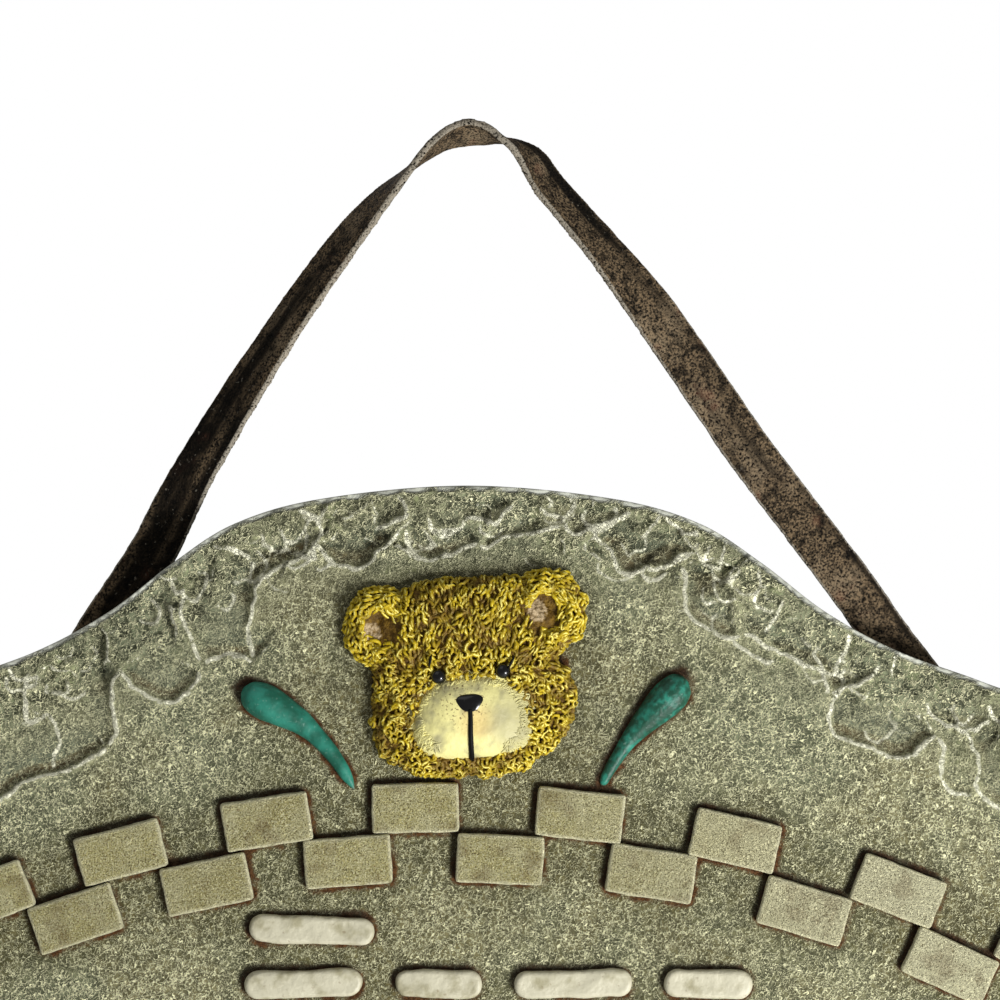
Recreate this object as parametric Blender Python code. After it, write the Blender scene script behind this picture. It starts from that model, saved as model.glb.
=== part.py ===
"""A cast resin wall plaque with a teddy bear's head in relief, and the leather strap that it hangs by.

The plaque is one casting: a slab with an arched top and a chipped stone edge, and on it the bear's head, two
teardrop marks, an arch of chequered tiles and rows of brush strokes. The strap is the only other piece.
Its ends lie in two channels in the plaque's back.

+Z is up and the front faces -Y. The wall is the plane y = 0, and the origin is the point of that plane right
behind the underside of the strap's crest, where a nail would carry it. Places on the plaque are given as x, the
distance right of the middle, and drop, the distance below the top of the dome.
"""

import math
import random

import bmesh
import bpy
from mathutils import Matrix, Vector, geometry, noise

MM = 0.001
GAP = 0.3 * MM  # left between the strap and the casting, all round

# The slab
DOME_TOP = -68.7 * MM
PLAQUE_HEIGHT = 190.0 * MM
SLAB_DEPTH = 13.0 * MM
RIM_FALL = 3.0 * MM  # the front is this much lower at the rim than in the field
BORDER = 14.0 * MM
OUTLINE_STEP = 7.5 * MM
ROOT = 4.0 * MM  # how far ornaments reach into the slab
OUTLINE_HALF = [  # (x, drop) in mm, from the dome's top down the right side to the foot
    (0.0, 0.0),
    (29.0, 2.6),
    (46.6, 7.6),
    (59.2, 15.6),
    (72.0, 25.4),
    (86.4, 33.2),
    (104.0, 39.6),
    (118.0, 45.5),
    (128.4, 56.0),
    (132.0, 74.0),
    (132.0, 142.0),
    (128.5, 166.0),
    (115.0, 178.8),
    (85.0, 185.8),
    (45.0, 189.2),
    (0.0, 190.0),
]

# The chipped edge
CHIPS = [  # (x, drop, reach) in mm, the flakes struck off round the dome and the shoulders
    (-60.8, 33.8, 9.4),
    (-84.4, 44.8, 13.2),
    (-99.4, 52.0, 12.0),
    (-49.0, 26.4, 6.2),
    (-23.0, 10.8, 5.8),
    (-36.4, 11.8, 6.6),
    (-45.4, 16.8, 5.0),
    (-4.8, 8.4, 6.2),
    (-14.4, 4.8, 4.8),
    (6.6, 5.8, 5.2),
    (23.6, 3.8, 5.6),
    (35.6, 10.8, 7.2),
    (54.2, 20.4, 10.0),
    (69.0, 30.8, 6.4),
    (83.0, 44.0, 9.8),
    (98.2, 42.8, 6.0),
    (111.0, 57.0, 9.6),
]
CHIP_DEPTH = 0.9 * MM
CHIP_STEEPNESS = 0.11  # more depth for each unit of reach
CHIP_RAGGEDNESS = 0.45
CHIP_WALL = 0.28  # of its reach, the steep part of a flake
CHIP_CORNERS = 9
CHIP_MARGIN = 1.0 * MM  # no point of a flake comes nearer to the rim
EDGE_CHIP_PITCH = 18.0 * MM
EDGE_CHIP_REACH = (7.5 * MM, 12.5 * MM)
EDGE_CHIP_START = 132.0 * MM  # along the outline from the dome's top, past the chips listed above
CHIP_SEED = 4

# The chequered arch
ARCH_X = -2.8 * MM
ARCH_DROP = 315.2 * MM  # the arch's centre, far below the plaque
LOWER_ROW = 240.8 * MM
ROW_PITCH = 10.0 * MM
TILE_LENGTH = 17.4 * MM
TILE_HEIGHT = 9.8 * MM
TILE_RISE = 1.5 * MM
TILE_BEVEL = 0.4 * MM
TILE_START = 2.19  # degrees, the middle tile of the lower row
TILE_TURN = 7.11  # degrees from one tile to the next in a row
TILE_DRIFT = 0.075  # degrees that this turn grows, as the tiles were set by eye
FIRST_TILE, LAST_TILE = -8, 7  # counted in half turns: even in the lower row, odd in the upper

# The teardrop marks, (x, drop, half width) in mm from the round head to the tip
LEFT_MARK = [
    (-45.0, 41.2, 0.8),
    (-43.8, 41.8, 2.9),
    (-40.8, 43.1, 3.8),
    (-33.4, 46.9, 3.1),
    (-28.2, 52.2, 2.0),
    (-24.6, 57.2, 1.4),
    (-22.6, 60.6, 0.3),
]
RIGHT_MARK = [
    (43.8, 38.8, 1.0),
    (42.9, 39.6, 2.8),
    (40.6, 42.2, 3.6),
    (35.2, 47.6, 2.7),
    (31.2, 53.0, 1.9),
    (28.4, 57.8, 1.3),
    (27.4, 59.6, 0.4),
]
MARK_RISE = 0.9  # of its half width

# The rows of brush strokes, (drop, from x, to x) in mm
STROKE_ROWS = [
    (88.8, -43.5, -18.0),
    (99.6, -44.5, 70.0),
    (110.6, -41.0, 68.0),
    (127.0, -62.0, 66.0),
    (138.0, -66.0, 70.0),
    (149.0, -58.0, 62.0),
]
STROKE_LENGTHS = [25.0, 23.5, 21.0, 17.5]  # mm, taken in turn
STROKE_SPACE = 6.5 * MM
STROKE_THICKNESS = 5.6 * MM
STROKE_RISE = 1.9 * MM
STROKE_BEVEL = 0.5 * MM
STROKE_TILT = 1.6  # degrees, this way and that in turn

# The bear's head. Sizes are half width, half depth and half height. Heights are above the field.
HEAD_TILT = -4.0  # degrees, its left ear is the lower one
HEAD = (0.8, 38.2)
HEAD_SIZE = (20.6 * MM, 5.4 * MM, 19.6 * MM)
HEAD_SQUARENESS = 2.8
LEFT_EAR = (-17.2, 28.6)
RIGHT_EAR = (16.4, 24.6)
EAR_SIZE = (7.6 * MM, 4.6 * MM, 8.0 * MM)
EAR_HOLLOW = 2.6 * MM
MUZZLE = (1.2, 47.2)
MUZZLE_SIZE = (10.8 * MM, 8.0 * MM, 7.6 * MM)
MUZZLE_TAPER = 0.16
NOSE = (0.5, 42.9)
NOSE_SIZE = (2.6 * MM, 1.7 * MM, 1.8 * MM)
NOSE_TAPER = -0.25
NOSE_HEIGHT = 7.0 * MM
EYES = [(-5.6, 37.7), (7.1, 36.8)]
EYE_SIZE = (1.3 * MM, 1.3 * MM, 1.3 * MM)
EYE_HEIGHT = 5.6 * MM
MOUTH_X = 0.9 * MM
MOUTH_WIDTH = 0.8 * MM
MOUTH_FLOOR = [(44.5, 6.4), (49.5, 6.6), (52.0, 5.2), (54.0, 2.6)]  # (drop, height) in mm, down the muzzle
MOUTH_OPEN = 12.0 * MM
TUFT_RISE = 0.9 * MM
TUFT_SIZE = 2.6 * MM

# The strap: (x, z, turn) in mm and degrees. Turn is 0 where the strap lies flat against the wall and 90 where
# it stands square to it, with its outer edge always at the wall.
STRAP_ROUTE = [
    (-90.3, -122.7, 0),
    (-82.8, -111.3, 0),
    (-73.8, -97.1, 0),
    (-64.3, -82.7, 2),
    (-60.0, -74.5, 10),
    (-55.4, -65.8, 25),
    (-46.2, -50.2, 38),
    (-40.1, -40.5, 45),
    (-33.3, -30.1, 50),
    (-25.4, -19.2, 55),
    (-18.5, -11.2, 67),
    (-13.0, -6.3, 80),
    (-9.2, -2.4, 92),
    (-4.9, 0.9, 104),
    (-0.3, 2.6, 113),
    (3.8, 2.2, 105),
    (6.4, 1.4, 90),
    (10.0, -0.2, 74),
    (13.4, -3.2, 56),
    (16.7, -8.2, 50),
    (27.2, -20.3, 42),
    (36.6, -32.0, 20),
    (41.9, -39.4, 12),
    (50.4, -51.2, 8),
    (58.9, -63.3, 5),
    (77.2, -87.2, 2),
    (86.1, -100.1, 0),
    (92.9, -109.5, 0),
    (99.2, -118.2, 0),
]
STRAP_WIDTH = 9.4 * MM
STRAP_THICKNESS = 1.8 * MM
STRAP_STEPS = 3  # rings between two points of the route
CHANNEL_LENGTH = 60.0 * MM

COLOURS = {  # name: (base colour, roughness)
    "painted_resin": ((0.225, 0.235, 0.165), 0.75),
    "aged_leather": ((0.055, 0.038, 0.026), 0.85),
}


def at(x, drop, y=0.0):
    """The point x right of the middle and drop below the dome's top."""
    return Vector((x, y, DOME_TOP - drop))


def smooth(points, steps):
    """Points along a smooth curve through the given ones, with steps to each span."""
    points = [Vector(p) for p in points]
    ends = [points[0] * 2 - points[1], *points, points[-1] * 2 - points[-2]]
    found = []
    for a, b, c, d in zip(ends, ends[1:], ends[2:], ends[3:]):
        for i in range(steps):
            t = i / steps
            curve = 2 * b + (c - a) * t
            curve += (2 * a - 5 * b + 4 * c - d) * t * t
            curve += (3 * b - a - 3 * c + d) * t * t * t
            found.append(curve / 2)
    return [*found, points[-1]]


def evenly(points, step):
    """The same line, with points about step apart."""
    lengths = [0.0]
    for a, b in zip(points, points[1:]):
        lengths.append(lengths[-1] + (b - a).length)
    count = max(1, round(lengths[-1] / step))
    found, i = [], 0
    for k in range(count + 1):
        wanted = lengths[-1] * k / count
        while i < len(points) - 2 and lengths[i + 1] < wanted:
            i += 1
        share = (wanted - lengths[i]) / (lengths[i + 1] - lengths[i])
        found.append(points[i].lerp(points[i + 1], share))
    return found


def half_outline():
    """(x, drop) down the right side, the middle points included."""
    mirrored = [(-OUTLINE_HALF[1][0], OUTLINE_HALF[1][1]), *OUTLINE_HALF]
    mirrored.append((-OUTLINE_HALF[-2][0], OUTLINE_HALF[-2][1]))
    steps = 12
    curve = smooth([(x * MM, drop * MM) for x, drop in mirrored], steps)
    return evenly(curve[steps:-steps], OUTLINE_STEP)


def full_outline():
    """(x, drop) all round, clockwise as seen from the front."""
    right = half_outline()
    left = [Vector((-p.x, p.y)) for p in reversed(right[1:-1])]
    return right + left


def material(name):
    made = bpy.data.materials.get(name)
    if made is None:
        made = bpy.data.materials.new(name)
        made.use_nodes = True
        colour, roughness = COLOURS[name]
        shader = made.node_tree.nodes["Principled BSDF"]
        shader.inputs["Base Color"].default_value = (*colour, 1.0)
        shader.inputs["Roughness"].default_value = roughness
        shader.inputs["Metallic"].default_value = 0.0
    return made


def solid(name, bm, material_name="painted_resin"):
    """The object that holds this mesh, with its faces turned outwards."""
    bm.normal_update()
    bmesh.ops.recalc_face_normals(bm, faces=bm.faces)
    mesh = bpy.data.meshes.new(name)
    bm.to_mesh(mesh)
    bm.free()
    obj = bpy.data.objects.new(name, mesh)
    obj.data.materials.append(material(material_name))
    bpy.context.scene.collection.objects.link(obj)
    return obj


def combine(target, operation, helpers):
    """Joins the helpers to target, or cuts them from it, in one Boolean that stays live."""
    group = bpy.data.collections.new(f"{target.name}_{operation.lower()}")
    bpy.context.scene.collection.children.link(group)
    for helper in helpers:
        bpy.context.scene.collection.objects.unlink(helper)
        group.objects.link(helper)
        helper.hide_render = True
        helper.display_type = "WIRE"
    modifier = target.modifiers.new(group.name, "BOOLEAN")
    modifier.operation = operation
    modifier.operand_type = "COLLECTION"
    modifier.collection = group
    modifier.solver = "EXACT"


def loft(name, rings, material_name="painted_resin"):
    """A closed solid whose skin runs through rings of points, with flat ends."""
    bm = bmesh.new()
    loops = [[bm.verts.new(p) for p in ring] for ring in rings]
    for near, far in zip(loops, loops[1:]):
        for i in range(len(near)):
            j = (i + 1) % len(near)
            bm.faces.new((near[i], near[j], far[j], far[i]))
    bm.faces.new(loops[0])
    bm.faces.new(loops[-1])
    return solid(name, bm, material_name)


def raised(name, outline, place, rise, bevel):
    """A flat-topped ornament: an outline of (along, up) pairs stood out from the field, with a bevelled top."""
    root, edge, top = ROOT - SLAB_DEPTH, bevel - rise - SLAB_DEPTH, -rise - SLAB_DEPTH
    inner = []
    for u, v in outline:
        inner.append((u - math.copysign(bevel, u), v - math.copysign(min(bevel, abs(v)), v)))
    rings = []
    for corners, y in ((outline, root), (outline, edge), (inner, top)):
        rings.append([place @ Vector((u, y, v)) for u, v in corners])
    return loft(name, rings)


def inset(outline, distance):
    """The same loop, moved inwards by distance."""
    found = []
    for i, here in enumerate(outline):
        along = (outline[(i + 1) % len(outline)] - outline[i - 1]).normalized()
        found.append(here + Vector((-along.y, along.x)) * distance)
    return found


def chips(outline):
    """(middle, reach) of the flakes round the top, and of a run of them along the sides and the foot."""
    found = [(Vector((x, drop)) * MM, reach * MM) for x, drop, reach in CHIPS]
    randomly = random.Random(CHIP_SEED)
    first = round(EDGE_CHIP_START / OUTLINE_STEP)
    skip = round(EDGE_CHIP_PITCH / OUTLINE_STEP)
    for i in range(first, len(outline) - first, skip):
        reach = randomly.uniform(*EDGE_CHIP_REACH)
        found.append((inset(outline, reach * randomly.uniform(0.4, 0.9))[i], reach))
    return found


def ragged(chip, direction):
    """How far the flake reaches in that direction."""
    middle, reach = chip
    return reach * (1 + CHIP_RAGGEDNESS * noise.noise((*(direction + middle / reach), 0)))


def front_depth(spot, outline, flakes):
    """How far the front lies from the wall: less towards the rim, and less again inside a flake."""
    from_rim = min((spot - p).length for p in outline)
    cut = 0.0
    for chip in flakes:
        middle, reach = chip
        offset = spot - middle
        if offset.length < 2 * reach:
            share = offset.length / ragged(chip, offset.normalized())
            steep = min(1.0, max(0.0, 1 - share) / CHIP_WALL)
            cut = max(cut, (CHIP_DEPTH + CHIP_STEEPNESS * reach) * steep)
    return SLAB_DEPTH - RIM_FALL * max(0.0, 1 - from_rim / BORDER) - cut


def within(spot, loop):
    """Whether the spot lies inside the loop."""
    inside = False
    for a, b in zip(loop, [*loop[1:], loop[0]]):
        crosses = (a.y > spot.y) != (b.y > spot.y)
        if crosses and spot.x < a.x + (b.x - a.x) * (spot.y - a.y) / (b.y - a.y):
            inside = not inside
    return inside


def bend_lines(outline, flakes):
    """The loops along which the front bends: its rim, the field's edge, and the edge and the floor of each flake."""
    loops = [outline, inset(outline, BORDER)]
    turns = [2 * math.pi * k / CHIP_CORNERS for k in range(CHIP_CORNERS)]
    directions = [Vector((math.cos(a), math.sin(a))) for a in turns]
    for chip in flakes:
        for share in (1.0, 1 - CHIP_WALL):
            loops.append([chip[0] + d * ragged(chip, d) * share for d in directions])
    return loops


def slab():
    """The slab: a front made of triangles between the lines along which it bends, drawn back to the wall."""
    outline = full_outline()
    flakes = chips(outline)
    safe = inset(outline, CHIP_MARGIN)
    spots, edges = [], []
    for loop in bend_lines(outline, flakes):
        numbers = []
        for spot in loop:
            kept = loop is outline or within(spot, safe)
            numbers.append(len(spots) if kept else None)
            spots += [spot] * kept
        edges += [[a, b] for a, b in zip(numbers, numbers[1:] + numbers[:1]) if None not in (a, b)]
    every_triangle = 0
    flat, _, faces, *_ = geometry.delaunay_2d_cdt(spots, edges, [], every_triangle, MM / 100, False)
    bm = bmesh.new()
    points = [bm.verts.new(at(p.x, p.y, -front_depth(p, outline, flakes))) for p in flat]
    for face in faces:
        if within(sum((flat[i] for i in face), Vector((0, 0))) / 3, outline):
            bm.faces.new([points[i] for i in face])
    made = bmesh.ops.extrude_edge_only(bm, edges=[e for e in bm.edges if e.is_boundary])["geom"]
    for point in (g for g in made if isinstance(g, bmesh.types.BMVert)):
        point.co.y = 0.0
    bmesh.ops.holes_fill(bm, edges=[e for e in bm.edges if e.is_boundary], sides=0)
    return solid("plaque", bm)


def channel(name, end, before):
    """The cutter for the groove that one end of the strap lies in."""
    start, towards = Vector((end[0], 0, end[1])) * MM, Vector((before[0], 0, before[1])) * MM
    along = (towards - start).normalized()
    across = along.cross(Vector((0, 1, 0))) * (STRAP_WIDTH / 2 + GAP)
    back, floor = Vector((0, 1 * MM, 0)), Vector((0, -(STRAP_THICKNESS + 2 * GAP), 0))
    rings = []
    for centre in (start - along * GAP, start + along * CHANNEL_LENGTH):
        rings.append([centre + side + depth for side, depth in (
            (-across, back), (across, back), (across, floor), (-across, floor))])
    return loft(name, rings)


def tiles():
    """Tiles along the arch, a half turn apart, in the lower and the upper row in turn."""
    u, v = TILE_LENGTH / 2, TILE_HEIGHT / 2
    outline = [(-u, -v), (u, -v), (u, v), (-u, v)]
    made = []
    for half in range(FIRST_TILE, LAST_TILE + 1):
        turn = half / 2
        angle = math.radians(TILE_START + TILE_TURN * turn + TILE_DRIFT * turn * turn)
        radius = LOWER_ROW + ROW_PITCH * (half % 2)
        centre = at(ARCH_X + radius * math.sin(angle), ARCH_DROP - radius * math.cos(angle))
        place = Matrix.Translation(centre) @ Matrix.Rotation(angle, 4, "Y")
        made.append(raised(f"tile_{half - FIRST_TILE:02d}", outline, place, TILE_RISE, TILE_BEVEL))
    return made


def stroke_outline(length):
    """A bar with round ends."""
    radius, corners = STROKE_THICKNESS / 2, 4
    found = []
    for side in (1, -1):
        for i in range(corners):
            angle = math.pi * (i / (corners - 1) - 0.5)
            reach = length / 2 - radius + radius * math.cos(angle)
            found.append((side * reach, side * radius * math.sin(angle)))
    return found


def strokes():
    made = []
    for drop, left, right in STROKE_ROWS:
        x, lengths = left * MM, 0
        while x < right * MM - STROKE_SPACE:
            length = min(STROKE_LENGTHS[(len(made) + lengths) % len(STROKE_LENGTHS)] * MM, right * MM - x)
            lengths += 1
            tilt = math.radians(STROKE_TILT * (-1) ** len(made))
            place = Matrix.Translation(at(x + length / 2, drop * MM)) @ Matrix.Rotation(tilt, 4, "Y")
            name = f"stroke_{len(made):02d}"
            made.append(raised(name, stroke_outline(length), place, STROKE_RISE, STROKE_BEVEL))
            x += length + STROKE_SPACE
    return made


def mark(name, route):
    """A teardrop: a bent, tapering body that stands half out of the field."""
    path = smooth([Vector(p) * MM for p in route], 2)
    sides = 10
    rings = []
    for i, (x, drop, half_width) in enumerate(path):
        ahead, behind = path[min(i + 1, len(path) - 1)], path[max(i - 1, 0)]
        along = Vector((ahead.x - behind.x, 0, behind.y - ahead.y)).normalized()
        across = along.cross(Vector((0, 1, 0))) * half_width
        outwards = Vector((0, -MARK_RISE * half_width, 0))
        centre = at(x, drop, -SLAB_DEPTH)
        turns = [2 * math.pi * k / sides for k in range(sides)]
        rings.append([centre + across * math.cos(a) + outwards * math.sin(a) for a in turns])
    return loft(name, rings)


def rounded_form(name, place, size, detail, squareness=2.0, height=0.0, taper=0.0, tufts=0.0, hollow=0.0):
    """A squashed ball with its middle at a height above the field.

    It is squarer than round where squareness is over 2, narrows upwards by taper, and has tufts of fur and a hollow.
    """
    bm = bmesh.new()
    bmesh.ops.create_icosphere(bm, subdivisions=detail, radius=1.0)
    x, drop = place
    centre = at(x * MM, drop * MM, -SLAB_DEPTH - height)
    for point in bm.verts:
        unit = point.co.normalized()
        flat = math.hypot(unit.x, unit.z)
        power = abs(unit.x) ** squareness + abs(unit.z) ** squareness + abs(unit.y) ** squareness
        form = unit * power ** (-1 / squareness)
        spot = Vector((form.x * size[0] * (1 - taper * form.z), form.y * size[1], form.z * size[2]))
        spot.y += hollow * max(0.0, 1 - (flat / 0.6) ** 2)
        where = (centre + spot) / TUFT_SIZE
        lift = noise.noise(where) + 0.5 * noise.noise(where * 2)
        point.co = spot + unit * tufts * lift
    turn = Matrix.Rotation(math.radians(HEAD_TILT), 4, "Y")
    bmesh.ops.transform(bm, matrix=Matrix.Translation(centre) @ turn, verts=bm.verts)
    return solid(name, bm)


def mouth():
    """The cutter for the groove from the nose to the chin, whose floor follows the muzzle."""
    side = [(drop * MM, -SLAB_DEPTH - height * MM) for drop, height in MOUTH_FLOOR]
    side += [(side[-1][0], -SLAB_DEPTH - MOUTH_OPEN), (side[0][0], -SLAB_DEPTH - MOUTH_OPEN)]
    edges = (MOUTH_X - MOUTH_WIDTH / 2, MOUTH_X + MOUTH_WIDTH / 2)
    return loft("mouth", [[at(x, drop, y) for drop, y in side] for x in edges])


def bear():
    """The head, ears, muzzle, nose and eyes, to be joined to the slab."""
    muzzle = rounded_form("muzzle", MUZZLE, MUZZLE_SIZE, 3, taper=MUZZLE_TAPER)
    combine(muzzle, "DIFFERENCE", [mouth()])
    parts = [
        rounded_form("head", HEAD, HEAD_SIZE, 5, HEAD_SQUARENESS, tufts=TUFT_RISE),
        rounded_form("left_ear", LEFT_EAR, EAR_SIZE, 3, tufts=TUFT_RISE, hollow=EAR_HOLLOW),
        rounded_form("right_ear", RIGHT_EAR, EAR_SIZE, 3, tufts=TUFT_RISE, hollow=EAR_HOLLOW),
        muzzle,
        rounded_form("nose", NOSE, NOSE_SIZE, 2, height=NOSE_HEIGHT, taper=NOSE_TAPER),
    ]
    parts += [rounded_form(f"eye_{i}", eye, EYE_SIZE, 2, height=EYE_HEIGHT) for i, eye in enumerate(EYES)]
    return parts


def strap():
    """A flat band along its route, turning from lying on the wall to standing square to it at the crest."""
    path = smooth(STRAP_ROUTE, STRAP_STEPS)
    toward_wall = Vector((0, 1, 0))
    rings = []
    for i, (x, z, turn) in enumerate(path):
        ahead, behind = path[min(i + 1, len(path) - 1)], path[max(i - 1, 0)]
        along = Vector((ahead.x - behind.x, 0, ahead.y - behind.y)).normalized()
        outwards = Vector((-along.z, 0, along.x))
        sine, cosine = math.sin(math.radians(turn)), math.cos(math.radians(turn))
        across = (outwards * cosine + toward_wall * sine) * STRAP_WIDTH / 2
        through = (toward_wall * cosine - outwards * sine) * STRAP_THICKNESS / 2
        depth = GAP + STRAP_THICKNESS / 2 + STRAP_WIDTH / 2 * sine
        centre = Vector((x * MM, -depth, z * MM))
        rings.append([centre + a * across + b * through for a, b in ((-1, -1), (1, -1), (1, 1), (-1, 1))])
    return loft("strap", rings, "aged_leather")


def main():
    for obj in list(bpy.data.objects):
        bpy.data.objects.remove(obj)
    plaque = slab()
    ends = [(STRAP_ROUTE[0], STRAP_ROUTE[1]), (STRAP_ROUTE[-1], STRAP_ROUTE[-2])]
    grooves = [channel(f"channel_{i}", end, before) for i, (end, before) in enumerate(ends)]
    combine(plaque, "DIFFERENCE", grooves)
    ornaments = [*tiles(), *strokes(), *bear()]
    ornaments += [mark("left_mark", LEFT_MARK), mark("right_mark", RIGHT_MARK)]
    combine(plaque, "UNION", ornaments)
    strap()


main()
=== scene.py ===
# %% [markdown]
# A cast resin wall plaque, dressed
#
# The plaque is painted to look like an old stone with flakes struck off round its edge. It carries
# a bear's head in curly fur, two teardrop marks, an arch of chequered tiles and rows of white brush
# strokes, and it hangs by a worn leather strap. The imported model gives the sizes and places. This
# lesson models the surface that the eye sees: each step says what the piece is on the real plaque,
# and why it is made the way it is.

# %% Load the frame and keep its box
import math

import bmesh
import bpy
import numpy as np
from mathutils import Matrix, Vector


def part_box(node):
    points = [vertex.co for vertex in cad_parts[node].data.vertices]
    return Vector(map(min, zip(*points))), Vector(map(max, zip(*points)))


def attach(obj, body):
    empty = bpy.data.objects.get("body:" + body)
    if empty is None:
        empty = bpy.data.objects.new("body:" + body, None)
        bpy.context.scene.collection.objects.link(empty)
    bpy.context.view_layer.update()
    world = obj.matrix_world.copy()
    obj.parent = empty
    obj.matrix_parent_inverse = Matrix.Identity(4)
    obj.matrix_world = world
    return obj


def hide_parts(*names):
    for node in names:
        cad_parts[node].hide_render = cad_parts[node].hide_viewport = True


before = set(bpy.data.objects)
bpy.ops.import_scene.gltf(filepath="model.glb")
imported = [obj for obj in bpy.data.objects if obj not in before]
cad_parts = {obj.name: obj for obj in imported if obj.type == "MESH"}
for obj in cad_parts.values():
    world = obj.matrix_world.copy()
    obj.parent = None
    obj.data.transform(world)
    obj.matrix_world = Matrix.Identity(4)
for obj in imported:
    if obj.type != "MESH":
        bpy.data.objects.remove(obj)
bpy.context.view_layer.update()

bpy.ops.object.select_all(action="DESELECT")

# %% [markdown]
# ## Places on the plaque
#
# Everything on the front is placed by x, the distance right of the middle, and drop, the distance
# below the top of the dome. The front faces -Y, the wall is y = 0, and the dome's top comes from
# the frame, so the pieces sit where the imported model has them.

# %% Units and planes
MM = 0.001
PLAQUE_LOW, PLAQUE_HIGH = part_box("plaque")
DOME_TOP = PLAQUE_HIGH[2]
HALF_WIDTH = PLAQUE_HIGH[0]
PLAQUE_HEIGHT = DOME_TOP - PLAQUE_LOW[2]
SLAB_DEPTH = 13.0 * MM


def at(x, drop, height=0.0):
    """A point of the front, in metres, that stands height above the field."""
    return Vector((x, -(SLAB_DEPTH + height), DOME_TOP - drop))


print(f"plaque {2 * HALF_WIDTH / MM:.1f} x {PLAQUE_HEIGHT / MM:.1f} mm, top at {DOME_TOP / MM:.1f} mm")

# %% [markdown]
# ## Camera, lights and room
#
# The photograph was taken straight from the front with a long lens, so the camera stands well back
# with a narrow view. The main light comes from the lower right, which throws short soft shadows to
# the upper left of each tile. The room is a plain white one: the camera sees it white, and it
# lights the shaded sides at a quarter of that.

# %% Camera
VIEW_MIDDLE = (6.6 * MM, -71.6 * MM)
VIEW_WIDTH = 0.2
CAMERA_DISTANCE = 0.75
SENSOR = 36.0

bpy.ops.object.camera_add(
    location=(VIEW_MIDDLE[0], -SLAB_DEPTH - CAMERA_DISTANCE, VIEW_MIDDLE[1]), rotation=(math.pi / 2, 0, 0)
)
camera = bpy.context.object
camera.data.sensor_width = SENSOR
camera.data.lens = SENSOR * CAMERA_DISTANCE / VIEW_WIDTH
camera.data.clip_start = 0.01
bpy.context.scene.camera = camera
print(f"lens {camera.data.lens:.0f} mm")

# %% Lights
LIT_MIDDLE = Vector((0.0, 0.0, -0.12))
LIGHTS = {  # the direction from the middle, the distance and the size in metres, and the power in watts
    "key_light": ((0.60, -0.68, -0.45), 0.72, 0.20, 6.6),
    "top_light": ((-0.35, -0.60, 0.75), 1.3, 0.90, 1.6),
    "back_light": ((-0.40, 0.80, 0.50), 1.3, 0.90, 3.0),
}


def soft_light(name, direction, distance, size, power):
    """A square light that faces the middle of the plaque from a direction."""
    place = LIT_MIDDLE + Vector(direction).normalized() * distance
    turn = (place - LIT_MIDDLE).to_track_quat("Z", "Y").to_euler()
    bpy.ops.object.light_add(type="AREA", location=place, rotation=turn)
    light = bpy.context.object
    light.name = name
    light.data.size = size
    light.data.energy = power
    return light


for name, settings in LIGHTS.items():
    soft_light(name, *settings)
print("lights:", list(LIGHTS))

# %% The white room
ROOM_LIGHT = 0.24


def white_room():
    """White where the camera looks at it, and dimmer as a light."""
    world = bpy.data.worlds.new("white_room")
    world.use_nodes = True
    bpy.context.scene.world = world
    tree = world.node_tree
    rays = tree.nodes.new("ShaderNodeLightPath")
    strength = tree.nodes.new("ShaderNodeMapRange")
    strength.inputs["To Min"].default_value = ROOM_LIGHT
    strength.inputs["To Max"].default_value = 1.0
    tree.links.new(rays.outputs["Is Camera Ray"], strength.inputs["Value"])
    background = tree.nodes["Background"]
    background.inputs["Color"].default_value = (1, 1, 1, 1)
    tree.links.new(strength.outputs["Result"], background.inputs["Strength"])


white_room()
bpy.context.scene.view_settings.view_transform = "Standard"
print("room light", ROOM_LIGHT)

# %% [markdown]
# ## Small tools for the whole lesson
#
# Blender's operators act on the selected object, and in edit mode on its selected parts. These
# helpers choose an object, pick edges by a test on their ends, reshape a mesh with modifiers, and
# finish a piece with its origin back at the world's, so that a pattern on Object coordinates lies
# still.

# %% Choosing objects and edges
def choose(obj):
    """Makes obj the one selected and active object."""
    bpy.ops.object.select_all(action="DESELECT")
    obj.select_set(True)
    bpy.context.view_layer.objects.active = obj


def edit_all(obj):
    """Enters edit mode with the whole mesh selected."""
    choose(obj)
    bpy.ops.object.mode_set(mode="EDIT")
    bpy.ops.mesh.select_all(action="SELECT")


def face_outwards(obj):
    """Turns the normals of all faces outwards."""
    edit_all(obj)
    bpy.ops.mesh.normals_make_consistent(inside=False)
    bpy.ops.object.mode_set(mode="OBJECT")


def pick_edges(obj, test):
    """In edit mode, selects the edges whose two ends pass the test."""
    bpy.ops.mesh.select_mode(type="EDGE")
    bpy.ops.mesh.select_all(action="DESELECT")
    mesh = bmesh.from_edit_mesh(obj.data)
    for edge in mesh.edges:
        edge.select_set(test(edge.verts[0].co, edge.verts[1].co))
    bmesh.update_edit_mesh(obj.data)


def apply_modifiers(obj):
    """Makes what the modifiers do part of the mesh."""
    choose(obj)
    for name in [modifier.name for modifier in obj.modifiers]:
        bpy.ops.object.modifier_apply(modifier=name)


def join(objects, name):
    """One object with the meshes of all."""
    bpy.ops.object.select_all(action="DESELECT")
    for obj in objects:
        obj.select_set(True)
    bpy.context.view_layer.objects.active = objects[0]
    bpy.ops.object.join()
    objects[0].name = name
    objects[0].data.name = name
    return objects[0]


# %% Reading and moving points
def points_of(obj):
    """The mesh's points as an array with three columns."""
    points = np.empty(len(obj.data.vertices) * 3, np.float32)
    obj.data.vertices.foreach_get("co", points)
    return points.reshape(-1, 3).astype(float)


def move_points(obj, points):
    obj.data.vertices.foreach_set("co", np.ascontiguousarray(points, np.float32).ravel())
    obj.data.update()


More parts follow.
